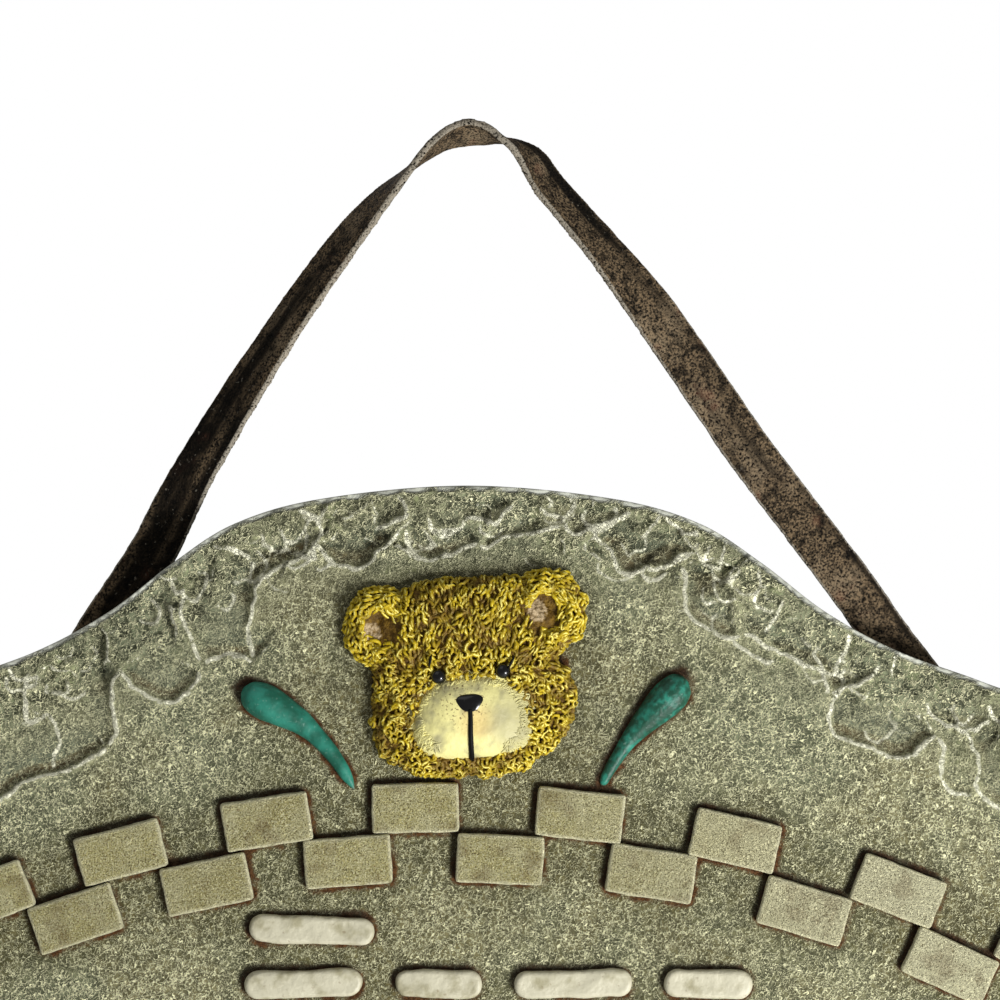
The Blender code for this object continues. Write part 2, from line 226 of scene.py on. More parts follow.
def paint(obj, name, values):
    """Stores one number a point, for the material to read as an attribute."""
    layer = obj.data.attributes.new(name, "FLOAT", "POINT")
    layer.data.foreach_set("value", np.ascontiguousarray(values, np.float32))


def triangles(obj):
    obj.data.calc_loop_triangles()
    return len(obj.data.loop_triangles)


# %% Even cells, thinner meshes and gentle bumps
def remesh(obj, size):
    """Gives the whole skin square cells of one size."""
    modifier = obj.modifiers.new("even_cells", "REMESH")
    modifier.mode = "VOXEL"
    modifier.voxel_size = size
    apply_modifiers(obj)


def thin_out(obj, wanted):
    """Takes triangles away where the surface is flattest."""
    modifier = obj.modifiers.new("thinner", "DECIMATE")
    modifier.ratio = min(1.0, wanted / triangles(obj))
    apply_modifiers(obj)


def bumps(obj, size, strength):
    """Pushes the skin in and out by a cloudy pattern."""
    clouds = bpy.data.textures.new("clouds", "CLOUDS")
    clouds.noise_scale = size
    clouds.noise_depth = 1
    modifier = obj.modifiers.new("bumps", "DISPLACE")
    modifier.texture = clouds
    modifier.texture_coords = "LOCAL"
    modifier.strength = strength
    modifier.mid_level = 0.5
    apply_modifiers(obj)


def settle(obj, node, material):
    """Finishes a piece: origin at the world's, smooth shading, material, node and body."""
    choose(obj)
    bpy.ops.object.transform_apply(location=True, rotation=True, scale=True)
    bpy.ops.object.shade_smooth()
    obj.data.materials.clear()
    obj.data.materials.append(material)
    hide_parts(node)
    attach(obj, "root")
    print(f"{obj.name}: {triangles(obj)} triangles")


# %% [markdown]
# ## The outline
#
# The dome, the two hollow shoulders and the rounded corners are one smooth curve through a few
# points, mirrored. A Catmull-Rom curve goes through its points, so they can be read off the real
# plaque.

# %% Half the outline, in millimetres, from the dome's top round to the foot
OUTLINE_HALF = [
    (0.0, 0.0),
    (29.0, 2.6),
    (46.6, 7.6),
    (59.2, 15.6),
    (72.0, 25.4),
    (86.4, 33.2),
    (104.0, 39.6),
    (118.0, 45.5),
    (128.4, 56.0),
    (132.0, 74.0),
    (132.0, 142.0),
    (128.5, 166.0),
    (115.0, 178.8),
    (85.0, 185.8),
    (45.0, 189.2),
    (0.0, 190.0),
]
OUTLINE_STEP = 1.0 * MM


def smooth(points, steps):
    """Points along a Catmull-Rom curve through the given ones, steps to a span, as an array."""
    points = np.array(points, float)
    ends = np.vstack([2 * points[0] - points[1], points, 2 * points[-1] - points[-2]])
    share = np.arange(steps)[:, None] / steps
    spans = []
    for a, b, c, d in zip(ends, ends[1:], ends[2:], ends[3:]):
        bend = 2 * a - 5 * b + 4 * c - d
        swing = 3 * b - a - 3 * c + d
        spans.append(b + (c - a) * share / 2 + bend * share**2 / 2 + swing * share**3 / 2)
    return np.vstack([*spans, points[-1:]])


def evenly(points, step):
    """The same line with points about step apart."""
    lengths = np.concatenate([[0], np.cumsum(np.linalg.norm(np.diff(points, axis=0), axis=1))])
    wanted = np.linspace(0, lengths[-1], round(lengths[-1] / step) + 1)
    return np.column_stack([np.interp(wanted, lengths, column) for column in points.T])


def full_outline():
    """(x, drop) in metres, clockwise as seen from the front."""
    before = (-OUTLINE_HALF[1][0], OUTLINE_HALF[1][1])
    after = (-OUTLINE_HALF[-2][0], OUTLINE_HALF[-2][1])
    steps = 24
    curve = smooth([before, *OUTLINE_HALF, after], steps)[steps : -steps] * MM
    right = evenly(curve, OUTLINE_STEP)
    left = right[-2:0:-1] * [-1, 1]
    return np.vstack([right, left])


def inwards_along(line):
    """At each point of a closed line, walked clockwise, the unit vector that points inwards."""
    ahead = np.roll(line, -1, axis=0) - np.roll(line, 1, axis=0)
    return np.column_stack([-ahead[:, 1], ahead[:, 0]]) / np.linalg.norm(ahead, axis=1)[:, None]


outline = full_outline()
inwards_at = inwards_along(outline)
print(len(outline), "points round the outline")

# %% [markdown]
# ## A height map for the front
#
# A sculptor would chip the stone's edge with a chisel brush. In code the same marks are drawn into
# a height map: a grid of heights over the front, a quarter of a millimetre apart. Value noise gives
# every mark its ragged edge. It is made from a table of random numbers with a fixed seed, blended
# smoothly from one to the next.

# %% The grid and the noise
GRID = 0.25 * MM
GRID_MARGIN = 2.0 * MM
NOISE_TABLE = 512

grid_x = np.arange(-HALF_WIDTH - GRID_MARGIN, HALF_WIDTH + GRID_MARGIN, GRID)
grid_drop = np.arange(-GRID_MARGIN, PLAQUE_HEIGHT + GRID_MARGIN, GRID)
map_x, map_drop = np.meshgrid(grid_x, grid_drop)


def rough(x, y, size, seed):
    """Smooth noise from -1 to 1, with bumps about size across."""
    table = np.random.default_rng(seed).uniform(-1, 1, (NOISE_TABLE, NOISE_TABLE))
    column, row = np.floor(x / size), np.floor(y / size)
    u, v = x / size - column, y / size - row
    u, v = u * u * (3 - 2 * u), v * v * (3 - 2 * v)
    column, row = column.astype(int) % NOISE_TABLE, row.astype(int) % NOISE_TABLE
    right, below = (column + 1) % NOISE_TABLE, (row + 1) % NOISE_TABLE
    above = table[row, column] * (1 - u) + table[row, right] * u
    under = table[below, column] * (1 - u) + table[below, right] * u
    return above * (1 - v) + under * v


def layered(x, y, size, seed, layers=3):
    """Noise with finer and weaker noise laid over it."""
    total = sum(rough(x, y, size / 2**i, seed + i) / 2**i for i in range(layers))
    return total / (2 - 2 ** (1 - layers))


def sample(field, x, drop):
    """The map's value at any places, blended between its four nearest points."""
    column = np.clip((x - grid_x[0]) / GRID, 0, len(grid_x) - 1.001)
    row = np.clip((drop - grid_drop[0]) / GRID, 0, len(grid_drop) - 1.001)
    i, j = row.astype(int), column.astype(int)
    v, u = row - i, column - j
    above = field[i, j] * (1 - u) + field[i, j + 1] * u
    under = field[i + 1, j] * (1 - u) + field[i + 1, j + 1] * u
    return above * (1 - v) + under * v


def blurred(field, reach):
    """The map, softened over about reach by box filters each way."""
    half = max(1, round(reach / GRID / 2))
    for axis in (0, 1, 0, 1):
        pad = [(0, 0), (0, 0)]
        pad[axis] = (half + 1, half)
        total = np.cumsum(np.pad(field, pad, mode="edge"), axis=axis)
        size = total.shape[axis]
        ahead_sum = np.take(total, range(2 * half + 1, size), axis=axis)
        behind_sum = np.take(total, range(0, size - 2 * half - 1), axis=axis)
        field = (ahead_sum - behind_sum) / (2 * half + 1)
    return field


def ramp(values, low, high):
    """0 up to low, 1 from high on, and smooth between."""
    share = np.clip((values - low) / (high - low), 0, 1)
    return share * share * (3 - 2 * share)


print("height map:", map_x.shape)

# %% [markdown]
# ## How far each place is from the rim
#
# The stone falls away towards its rim and the flakes keep near it, so the distance to the rim comes
# first. It is measured on a coarse grid, because it changes slowly, and read off that grid for the
# fine one.

# %% Distance to the rim
COARSE = 6  # fine steps to a coarse one


def distance_to_rim():
    coarse_x, coarse_drop = map_x[::COARSE, ::COARSE], map_drop[::COARSE, ::COARSE]
    nearest = np.full(coarse_x.shape, np.inf)
    for x, drop in outline[::2]:
        nearest = np.minimum(nearest, np.hypot(coarse_x - x, coarse_drop - drop))
    rows, columns = np.arange(coarse_x.shape[0]) * COARSE, np.arange(coarse_x.shape[1]) * COARSE
    wide = np.array([np.interp(np.arange(map_x.shape[1]), columns, line) for line in nearest])
    return np.array([np.interp(np.arange(map_x.shape[0]), rows, line) for line in wide.T]).T


rim_map = distance_to_rim()
print(f"deepest place is {rim_map.max() / MM:.0f} mm from the rim")

# %% [markdown]
# ## Flakes
#
# A flake struck off a stone leaves a sharp, ragged edge on one side. Past it the stone drops
# steeply, and then comes up again slowly towards the rim. So a flake is drawn as the line of its
# edge, walked with the low side on the left. The edges round the dome follow the real plaque. A
# seeded loop bends arcs for the sides and the foot, and strews small ones all round. Noise pushes
# the places about before the drops are drawn, which makes the edges ragged.

# %% The edges round the dome: depth, reach of the drop, and (x, drop) places, all in millimetres
EDGES = [
    (2.0, 13, (-98, 66), (-93, 62.4), (-89, 59.2), (-82.6, 57.4), (-75.2, 54.4), (-71.6, 52.6)),
    (1.6, 10, (-71.6, 52.6), (-70.4, 48.8), (-71.4, 44), (-71.2, 40.2), (-69.6, 36.8)),
    (1.0, 7, (-83.4, 57), (-83, 53.5), (-81.7, 50.9), (-84.3, 46.8), (-87.8, 47.5), (-88.6, 42),
     (-88.4, 37)),
    (1.9, 11, (-69.3, 36.4), (-67.4, 39), (-64, 41.8), (-59.6, 42.9), (-55.9, 40.7), (-53.6, 36.6)),
    (1.3, 9, (-60.2, 18.4), (-58.2, 21.4), (-56.8, 20.9), (-56.6, 25.6), (-55, 29.3), (-54.4, 33.2),
     (-53.2, 35)),
    (1.7, 12, (-53.2, 35), (-50.5, 34.5), (-47.4, 33.8), (-44.4, 34.2), (-42.4, 35.6)),
    (2.0, 11, (-42.9, 34.6), (-43.5, 28.4), (-42.9, 23.6), (-42.2, 19.7), (-37.5, 16.2),
     (-32.7, 14.1), (-29.6, 12.3)),
    (0.8, 4, (-51.8, 12.2), (-48.4, 12.5), (-44.6, 13.6), (-42.8, 15.4)),
    (2.1, 11, (-29.6, 12.1), (-27.4, 14.9), (-24.6, 16.4), (-21.2, 16.5), (-18.5, 13.6), (-14.8, 10.5)),
    (0.9, 5, (-34.7, 4.7), (-31.2, 6.2), (-30, 7.8), (-28.8, 9.4), (-29.4, 11.8)),
    (1.4, 6, (-18.8, 9), (-15.4, 7.7), (-12.5, 6.6), (-13.4, 3.6), (-14.8, 1.6)),
    (1.8, 9, (-12.3, 9.3), (-11.3, 12.4), (-9.6, 14.5), (-7, 14.3), (-1.6, 12.7), (2.2, 11.2)),
    (1.4, 5, (2.2, 11.2), (3.4, 12.3), (5, 12), (7.8, 10.1), (12.4, 9.3), (16, 8.4), (20, 7.8)),
    (1.6, 6, (-7.7, 6.2), (-6.2, 9.3), (-1.9, 9), (-0.4, 6.9), (2.6, 6.7), (5.8, 7.2), (7, 5),
     (9.6, 3.2)),
    (1.7, 6, (15.1, 3.8), (15.7, 5.5), (19.2, 6.1), (20.4, 8.2), (22.4, 9.3), (25.4, 8.1),
     (30.6, 6.4), (33, 4.6)),
    (0.9, 4, (20.6, 1.4), (21.1, 3.5), (20.4, 5.6), (19.4, 6.4)),
    (2.2, 11, (25.8, 8.1), (26.3, 10.8), (28.4, 12), (29.6, 15.2), (31.4, 17.4), (35, 16.5),
     (39.9, 16), (45.7, 13)),
    (1.1, 5, (34.6, 16.7), (36, 18.2), (38.2, 18.4), (40.6, 16.6)),
    (0.8, 4, (34.4, 11.1), (37.4, 8), (39.3, 5.6), (42.4, 8.4), (44.5, 9.6), (47, 8.6)),
    (2.1, 12, (43.4, 15.6), (44.1, 19.3), (43.7, 22.9), (44.4, 25.6), (48, 28.5), (52, 30.2), (55, 29.6)),
    (1.1, 5, (52.6, 30.6), (56.7, 33.6), (59.8, 35.1), (61.8, 34.6)),
    (1.8, 10, (55, 29.6), (57.2, 30), (59.3, 31.6), (63, 33.4), (67.4, 35.6), (70.6, 36.9), (72.6, 41.6)),
    (0.7, 4, (48.5, 11.1), (47.2, 15.6), (50.4, 16.7), (51.2, 13.6), (52.4, 10.6)),
    (0.7, 5, (58.6, 30.2), (60.8, 27.5), (61.8, 25.9), (63.3, 22.6)),
    (1.4, 7, (72.6, 41.6), (75, 40), (73.8, 36), (75.6, 33), (77.2, 29.4)),
    (2.4, 13, (75.6, 39.6), (73, 43.8), (72.4, 47), (73.9, 49.8), (79.7, 52.2), (85.6, 54.4),
     (89.6, 53.4), (93.8, 49.4)),
    (1.0, 5, (75.4, 39.7), (79, 39.2), (81, 37.8), (82.6, 35)),
    (1.5, 8, (92, 43), (93.4, 46.3), (98, 48.4), (101.6, 49.2), (105.6, 47)),
    (1.6, 9, (100.6, 49.4), (102.2, 55.5), (102.2, 60.5), (106.6, 64.4), (112, 64.6), (117, 61)),
    (1.3, 7, (94, 50), (95.7, 53), (95, 57.6), (97.4, 61.4), (101.8, 61.6)),
]

# %% More edges, down the sides and along the foot, and small ones all round
EDGE_SEED = 11
ARC_START = 132.0 * MM  # along the outline from the dome's top
ARC_PITCH = (9.0, 16.0)
ARC_WIDTH = (4.5, 10.0)
ARC_INSET = (0.8, 1.5)  # of its half width
ARC_DEPTH = (1.3, 2.3)
ARC_REACH = 1.5  # of its half width
ARC_TURNS = np.radians([-115, -75, -35, 0, 35, 75, 115])
ARC_SQUASH = (0.7, 1.15)
ARC_RAGGEDNESS = (0.8, 1.2)
SMALL_ARCS = 190
SMALL_ARC_WIDTH = (0.9, 3.2)
SMALL_ARC_ZONE = (1.5, 16.0)
SMALL_ARC_LEAN = 0.8
SMALL_ARC_DEPTH = (0.3, 0.8)
SMALL_ARC_REACH = 1.4  # of its half width


def bent_arc(spot, half_width, inwards, chance):
    """The edge of a flake that opens away from inwards, as places walked with the low side on the left."""
    side = np.array([inwards[1], -inwards[0]])
    squash = chance.uniform(*ARC_SQUASH)
    places = []
    for reach, turn in zip(half_width * chance.uniform(*ARC_RAGGEDNESS, len(ARC_TURNS)), ARC_TURNS):
        places.append(spot + reach * (math.cos(turn) * squash * inwards + math.sin(turn) * side))
    return places


def all_edges(chance):
    """(depth, reach, line) of every edge, in metres."""
    found = [(depth * MM, reach * MM, np.array(line) * MM) for depth, reach, *line in EDGES]
    place = ARC_START
    while place < len(outline) * OUTLINE_STEP - ARC_START:
        i = round(place / OUTLINE_STEP)
        half_width = chance.uniform(*ARC_WIDTH) * MM
        spot = outline[i] + inwards_at[i] * half_width * chance.uniform(*ARC_INSET)
        depth = chance.uniform(*ARC_DEPTH) * MM
        found.append((depth, ARC_REACH * half_width, bent_arc(spot, half_width, inwards_at[i], chance)))
        place += chance.uniform(*ARC_PITCH) * MM
    for i in chance.integers(0, len(outline), SMALL_ARCS):
        spot = outline[i] + inwards_at[i] * chance.uniform(*SMALL_ARC_ZONE) * MM
        turn = inwards_at[i] + chance.uniform(-SMALL_ARC_LEAN, SMALL_ARC_LEAN, 2)
        half_width = chance.uniform(*SMALL_ARC_WIDTH) * MM
        line = bent_arc(spot, half_width, turn / np.linalg.norm(turn), chance)
        found.append((chance.uniform(*SMALL_ARC_DEPTH) * MM, SMALL_ARC_REACH * half_width, line))
    return found


# %% How deep the stone drops past the edges
EDGE_STEP = 0.5 * MM
EDGE_FADE = 1.6 * MM  # from a line's ends
WALL = 1.1 * MM
CREST_WIDTH = 0.34 * MM
LIP = 0.16 * MM


def bent_places(seed, wide, fine):
    """The map's places, pushed about by coarse and fine noise."""
    found = []
    for k, places in enumerate((map_x, map_drop)):
        coarse = layered(map_x, map_drop, 6 * MM, seed + 10 * k)
        small = rough(map_x, map_drop, 1.5 * MM, seed + 10 * k + 5)
        found.append(places + wide * coarse + fine * small)
    return found


def sides_of(line, reach, bent_x, bent_drop):
    """The window round a line, and there the distance to its left and how far each place is from its ends."""
    (left, top), (right, foot) = line.min(axis=0) - reach, line.max(axis=0) + reach
    left, right = np.searchsorted(grid_x, (left, right))
    top, foot = np.searchsorted(grid_drop, (top, foot))
    window = (slice(top, foot), slice(left, right))
    ahead = np.gradient(line, axis=0)
    ahead /= np.linalg.norm(ahead, axis=1)[:, None]
    nearest = np.full(map_x[window].shape, np.inf)
    side, inner = np.zeros_like(nearest), np.zeros_like(nearest)
    for k, ((x, drop), (step_x, step_drop)) in enumerate(zip(line, ahead)):
        across, down = bent_x[window] - x, bent_drop[window] - drop
        away = np.hypot(across, down)
        closer = away < nearest
        nearest = np.where(closer, away, nearest)
        side = np.where(closer, across * step_drop - down * step_x, side)
        inner = np.where(closer, min(k, len(line) - 1 - k) * EDGE_STEP, inner)
    return window, side, inner


def stone_drops():
    """How deep the flakes cut below the field, and where the crests of their edges run, over the map."""
    bent_x, bent_drop = bent_places(seed=21, wide=0.9 * MM, fine=0.35 * MM)
    cuts, crests = np.zeros_like(map_x), np.zeros_like(map_x)
    for depth, reach, places in all_edges(np.random.default_rng(EDGE_SEED)):
        line = evenly(smooth(places, steps=6), EDGE_STEP)
        window, side, inner = sides_of(line, reach + 2 * MM, bent_x, bent_drop)
        if side.size == 0:
            continue
        strength = ramp(inner, 0, min(EDGE_FADE, len(line) * EDGE_STEP / 4)) * depth
        wall = min(WALL, reach / 5)
        drop = strength * (1 - np.exp(-np.maximum(side, 0) / wall)) * (1 - ramp(side, 0, reach))
        crest = np.minimum(strength / MM, 1) * np.exp(-(((side + CREST_WIDTH / 2) / CREST_WIDTH) ** 2))
        cuts[window] = np.maximum(cuts[window], drop)
        crests[window] = np.maximum(crests[window], crest)
    return cuts, crests


cut_map, crest_map = stone_drops()
print(f"deepest flake {cut_map.max() / MM:.2f} mm")

# %% [markdown]
# ## The whole front
#
# The field is flat. Near the rim it falls away, and there the stone breaks into small facets: each
# place takes the tilt of its nearest facet's plane, so that neighbours meet in little ledges. The
# flakes' drops are taken off that stone, and a low lip stands along their edges. Last comes a fine
# unevenness, which every cast has.

# %% Facets, and the height of the front
RIM_FALL = 2.4 * MM
RIM_REACH = 16.0 * MM
FACET_SEED = 5
FACETS = 300
FACET_STEP = 0.30 * MM
FACET_TILT = 0.28
FACET_ZONE = 19.0
FACET_REACH = 14.0 * MM
FACET_RANGE = (-1.2 * MM, 0.35 * MM)
BORDER_WHOLE, BORDER_END = 11.0 * MM, 18.0 * MM  # from the rim


def facet_map():
    """A broken surface of tilted planes, one round each of many scattered points near the rim."""
    chance = np.random.default_rng(FACET_SEED)
    bent_x, bent_drop = bent_places(seed=41, wide=1.6 * MM, fine=0.4 * MM)
    nearest, broken = np.full(map_x.shape, np.inf), np.zeros_like(map_x)
    for i in chance.integers(0, len(outline), FACETS):
        x, drop = outline[i] + inwards_at[i] * chance.uniform(0, FACET_ZONE) * MM
        step, tilt_x, tilt_drop = chance.uniform(-1, 1, 3) * (FACET_STEP, FACET_TILT, FACET_TILT)
        left, right = np.searchsorted(grid_x, (x - FACET_REACH, x + FACET_REACH))
        top, foot = np.searchsorted(grid_drop, (drop - FACET_REACH, drop + FACET_REACH))
        window = (slice(top, foot), slice(left, right))
        across, down = bent_x[window] - x, bent_drop[window] - drop
        away = np.hypot(across, down)
        closer = away < nearest[window]
        nearest[window] = np.where(closer, away, nearest[window])
        broken[window] = np.where(closer, step + across * tilt_x + down * tilt_drop, broken[window])
    return np.clip(broken, *FACET_RANGE)


def front_map():
    """The front's distance from the wall, over the map."""
    worn = rim_map + 3 * MM * layered(map_x, map_drop, 9 * MM, 51)
    border = 1 - ramp(worn, BORDER_WHOLE, BORDER_END)
    inside_rim = ramp(rim_map, 0, 1.5 * MM)
    stone = SLAB_DEPTH - RIM_FALL * np.clip(1 - rim_map / RIM_REACH, 0, 1) ** 1.4
    stone += LIP * crest_map - cut_map * ramp(rim_map, 0, 3 * MM)
    stone += facet_map() * border * inside_rim * (1 - 0.4 * ramp(cut_map, 0.3 * MM, 1.2 * MM))
    uneven = 0.10 * MM * layered(map_x, map_drop, 3.0 * MM, 61)
    uneven += 0.04 * MM * rough(map_x, map_drop, 1.1 * MM, 65)
    return stone + uneven * (0.25 + 0.75 * np.maximum(border, np.minimum(1, cut_map / MM)))


height_map = front_map()
print(f"front from {height_map.min() / MM:.2f} to {height_map.max() / MM:.2f} mm off the wall")

# %% [markdown]
# ## Where the relief stands
#
# The tiles follow an arch whose centre lies far below the plaque, a half turn apart in two rows.
# The strokes stand in rows, and the marks follow a bent line. Their places are worked out once,
# here, because two steps need them: the pieces themselves, and the brown wash that the painter let
# run round their feet.

# %% Tiles: (middle, angle) of each
ARCH_X = -2.8 * MM
ARCH_DROP = 315.2 * MM
LOWER_ROW = 240.8 * MM
ROW_PITCH = 10.0 * MM
TILE_LENGTH = 17.4 * MM
TILE_HEIGHT = 9.8 * MM
TILE_RISE = 2.1 * MM
TILE_START, TILE_TURN, TILE_DRIFT = 2.19, 7.11, 0.075  # degrees
FIRST_TILE, LAST_TILE = -8, 7
# In millimetres along the arch, by the number of half turns
TILE_SLIPS = {-6: 1.0, -5: -1.2, -3: -1.0, -2: -0.6, -1: -1.7, 2: 0.4, 4: 1.1, 5: 1.6, 6: 0.6}


def tile_places():
    found = []
    for half in range(FIRST_TILE, LAST_TILE + 1):
        turn = half / 2
        angle = math.radians(TILE_START + TILE_TURN * turn + TILE_DRIFT * turn * turn)
        radius = LOWER_ROW + ROW_PITCH * (half % 2)
        slip = TILE_SLIPS.get(half, 0) * MM
        x = ARCH_X + radius * math.sin(angle) + slip * math.cos(angle)
        found.append((x, ARCH_DROP - radius * math.cos(angle) + slip * math.sin(angle), angle))
    return found


print(len(tile_places()), "tiles")

# %% Strokes: (middle, length, tilt) of each
STROKE_ROWS = [  # (drop, from x, to x) in millimetres
    (88.8, -43.5, -18.0),
    (99.6, -44.5, 70.0),
    (110.6, -41.0, 68.0),
    (127.0, -62.0, 66.0),
    (138.0, -66.0, 70.0),
    (149.0, -58.0, 62.0),
]
STROKE_LENGTHS = [25.0, 23.5, 21.0, 17.5]
STROKE_SPACE = 6.5 * MM
STROKE_THICKNESS = 5.6 * MM
STROKE_RISE = 1.9 * MM
STROKE_TILT = 1.6  # degrees


def stroke_places():
    found = []
    for drop, left, right in STROKE_ROWS:
        x, lengths = left * MM, 0
        while x < right * MM - STROKE_SPACE:
            length = min(STROKE_LENGTHS[(len(found) + lengths) % len(STROKE_LENGTHS)] * MM, right * MM - x)
            lengths += 1
            tilt = math.radians(STROKE_TILT * (-1) ** len(found))
            found.append((x + length / 2, drop * MM, length, tilt))
            x += length + STROKE_SPACE
    return found


print(len(stroke_places()), "strokes")

# %% Teardrop marks, as (x, drop, half width) in millimetres, and the bear's forms
MARK_STEPS = 6
LEFT_MARK = [
    (-44.9, 41.0, 0.8),
    (-43.5, 41.7, 2.8),
    (-40.2, 43.4, 3.7),
    (-34.7, 46.4, 2.8),
    (-30.9, 49.4, 2.0),
    (-27.0, 53.6, 1.6),
    (-24.0, 58.2, 1.2),
    (-22.5, 60.9, 0.3),
]
RIGHT_MARK = [
    (43.7, 38.7, 1.0),
    (42.7, 39.7, 2.8),
    (40.4, 42.3, 3.6),
    (36.8, 45.9, 3.0),
    (34.0, 48.9, 2.2),
    (31.6, 52.0, 1.6),
    (28.8, 56.4, 1.25),
    (27.3, 59.2, 1.0),
    (26.8, 60.0, 0.3),
]
HEAD_TILT = math.radians(-4.0)
# A form's place is (x, drop) and its size its three half sizes, in millimetres. Squareness 2 is
# round. A dent is its direction and width, in degrees, and its share of the size. Bare and patch
# say where an ear has no fur and where its skin is painted, as shares of its half sizes off its
# middle.
HEAD = {
    "place": (0.8, 38.2),
    "size": (20.4, 5.4, 19.4),
    "squareness": 2.8,
    "dents": [(180, 16, 0.08), (8, 9, 0.15), (-50, 14, 0.04), (219, 14, -0.05)],
}
LEFT_EAR = {
    "place": (-17.0, 28.4),
    "size": (7.3, 4.6, 8.0),
    "hollow": 2.2,
    "bare": (-0.12, 0.05),
    "patch": (-0.30, -0.12),
}
RIGHT_EAR = {
    "place": (16.2, 25.0),
    "size": (7.3, 4.6, 8.2),
    "hollow": 2.2,
    "bare": (-0.12, 0.0),
    "patch": (-0.30, 0.02),
}
MUZZLE = {"place": (1.0, 45.9), "size": (12.4, 8.2, 8.8), "squareness": 2.8, "taper": 0.16}
NOSE = {"place": (0.6, 43.4), "size": (2.9, 1.5, 2.2), "height": 7.0, "taper": -0.34, "squareness": 2.5}
EYES = [
    {"place": (-5.6, 37.9), "size": (1.5, 1.3, 1.5), "height": 5.9},
    {"place": (7.2, 36.8), "size": (1.5, 1.3, 1.5), "height": 5.9},
]

# %% [markdown]
# ## Where the brown wash and the painted shade lie
#
# After the grey-green coat the painter brushed on thin brown and wiped it off. It stayed in the
# corners where the relief meets the field, as a wide thin film between the pieces, and at the deep
# ends of the flakes. Painted shade is laid with it: a darker band of painted shadow at the upper
# left of each piece, where the main light from the lower right throws it, shade over the field
# between the pieces, and shade on the flakes' walls that face up. So the feet of the pieces are
# drawn on the map and softened three times, once moved to the upper left, and the flakes' deep
# ends, whose walls face up, are found where the softened front rises with the drop.

# %% The halo round the relief
def relief_map():
    """1 where a piece of the relief stands on the field, else 0."""
    covered = np.zeros(map_x.shape, bool)
    for x, drop, angle in tile_places():
        u, v = map_x - x, map_drop - drop
        along, across = u * math.cos(angle) + v * math.sin(angle), v * math.cos(angle) - u * math.sin(angle)
        covered |= (np.abs(along) < TILE_LENGTH / 2) & (np.abs(across) < TILE_HEIGHT / 2)
    for x, drop, length, _ in stroke_places():
        beyond = np.maximum(np.abs(map_x - x) - (length - STROKE_THICKNESS) / 2, 0)
        covered |= np.hypot(beyond, map_drop - drop) < STROKE_THICKNESS / 2
    for mark in (LEFT_MARK, RIGHT_MARK):
        for x, drop, half_width in smooth(mark, MARK_STEPS)[4:-4] * MM:
            covered |= np.hypot(map_x - x, map_drop - drop) < 0.9 * half_width
    for form in (HEAD, LEFT_EAR, RIGHT_EAR):
        (x, drop), (width, _, height) = np.array(form["place"]) * MM, np.array(form["size"]) * MM
        power = form.get("squareness", 2)
        covered |= np.abs((map_x - x) / width) ** power + np.abs((map_drop - drop) / height) ** power < 0.8
    return covered.astype(float)


WASH_REACH = 1.6 * MM
# The painted shadow is the halo moved this far up and to the left, away from the main light
SHADOW_SLIP = (-4, -3)  # grid steps down and across
FILM_REACH = 16.0 * MM
GLOW_REACH = 1.8 * MM
FACES_UP_REACH = 2.2 * MM
RIDGE_REACH, RIDGE_HEIGHT = 0.9 * MM, 0.2 * MM
HOLLOW_REACH, HOLLOW_DEPTH = 3.0 * MM, 0.5 * MM

covered_map = relief_map()
paint_maps = {
    "wash": blurred(covered_map, WASH_REACH),
    "shadowed_wash": blurred(np.roll(covered_map, SHADOW_SLIP, axis=(0, 1)), WASH_REACH),
    "film_and_shade": blurred(covered_map, FILM_REACH),
    "crest": crest_map,
    "glow": blurred(crest_map, GLOW_REACH),
    "faces_up": np.gradient(blurred(height_map, FACES_UP_REACH), GRID, axis=0),
    "ridge": (height_map - blurred(height_map, RIDGE_REACH)) / RIDGE_HEIGHT,
    "hollow": (blurred(height_map, HOLLOW_REACH) - height_map) / HOLLOW_DEPTH,
}
print(f"relief covers {100 * covered_map.mean():.0f} % of the map")

# %% [markdown]
# ## The slab
#
# The slab starts as a circle with as many points as the outline has, and its points are moved on to
# the outline. Extrude gives it its 13 mm, and two cubes cut the grooves that hold the strap's ends
# in the back. A voxel remesh then covers the whole of it with even cells, like clay to be sculpted,
# and the height map presses the front into shape. Decimate takes the triangles back out where the
# stone is flat.

# %% The blank
STRAP_WIDTH = 9.4 * MM
STRAP_THICKNESS = 1.8 * MM
STRAP_GAP = 0.3 * MM
CHANNEL_LENGTH = 60.0 * MM
STRAP_ENDS = [((-90.3, -122.7), (-82.8, -111.3)), ((99.2, -118.2), (92.9, -109.5))]


def blank_slab():
    bpy.ops.mesh.primitive_circle_add(
        vertices=len(outline), radius=HALF_WIDTH, fill_type="NGON", rotation=(math.pi / 2, 0, 0)
    )
    slab = bpy.context.object
    slab.name = "slab"
    bpy.ops.object.transform_apply(rotation=True)
    move_points(slab, np.array([at(x, drop) for x, drop in outline]))
    edit_all(slab)
    bpy.ops.mesh.extrude_region_move(TRANSFORM_OT_translate={"value": (0, SLAB_DEPTH, 0)})
    bpy.ops.object.mode_set(mode="OBJECT")
    face_outwards(slab)
    return slab


def cut_channel(slab, end, before):
    """A groove in the back, for one end of the strap."""
    start, towards = Vector((end[0], 0, end[1])) * MM, Vector((before[0], 0, before[1])) * MM
    along = (towards - start).normalized()
    middle = start + along * (CHANNEL_LENGTH / 2 - STRAP_GAP)
    depth = 2 * (STRAP_THICKNESS + 2 * STRAP_GAP)
    turn = Vector((0, 0, 1)).rotation_difference(along).to_euler()
    bpy.ops.mesh.primitive_cube_add(size=1, location=middle, rotation=turn)
    cutter = bpy.context.object
    cutter.scale = (STRAP_WIDTH + 2 * STRAP_GAP, depth, CHANNEL_LENGTH)
    groove = slab.modifiers.new("groove", "BOOLEAN")
    groove.operation = "DIFFERENCE"
    groove.object = cutter
    apply_modifiers(slab)
    bpy.data.objects.remove(cutter)


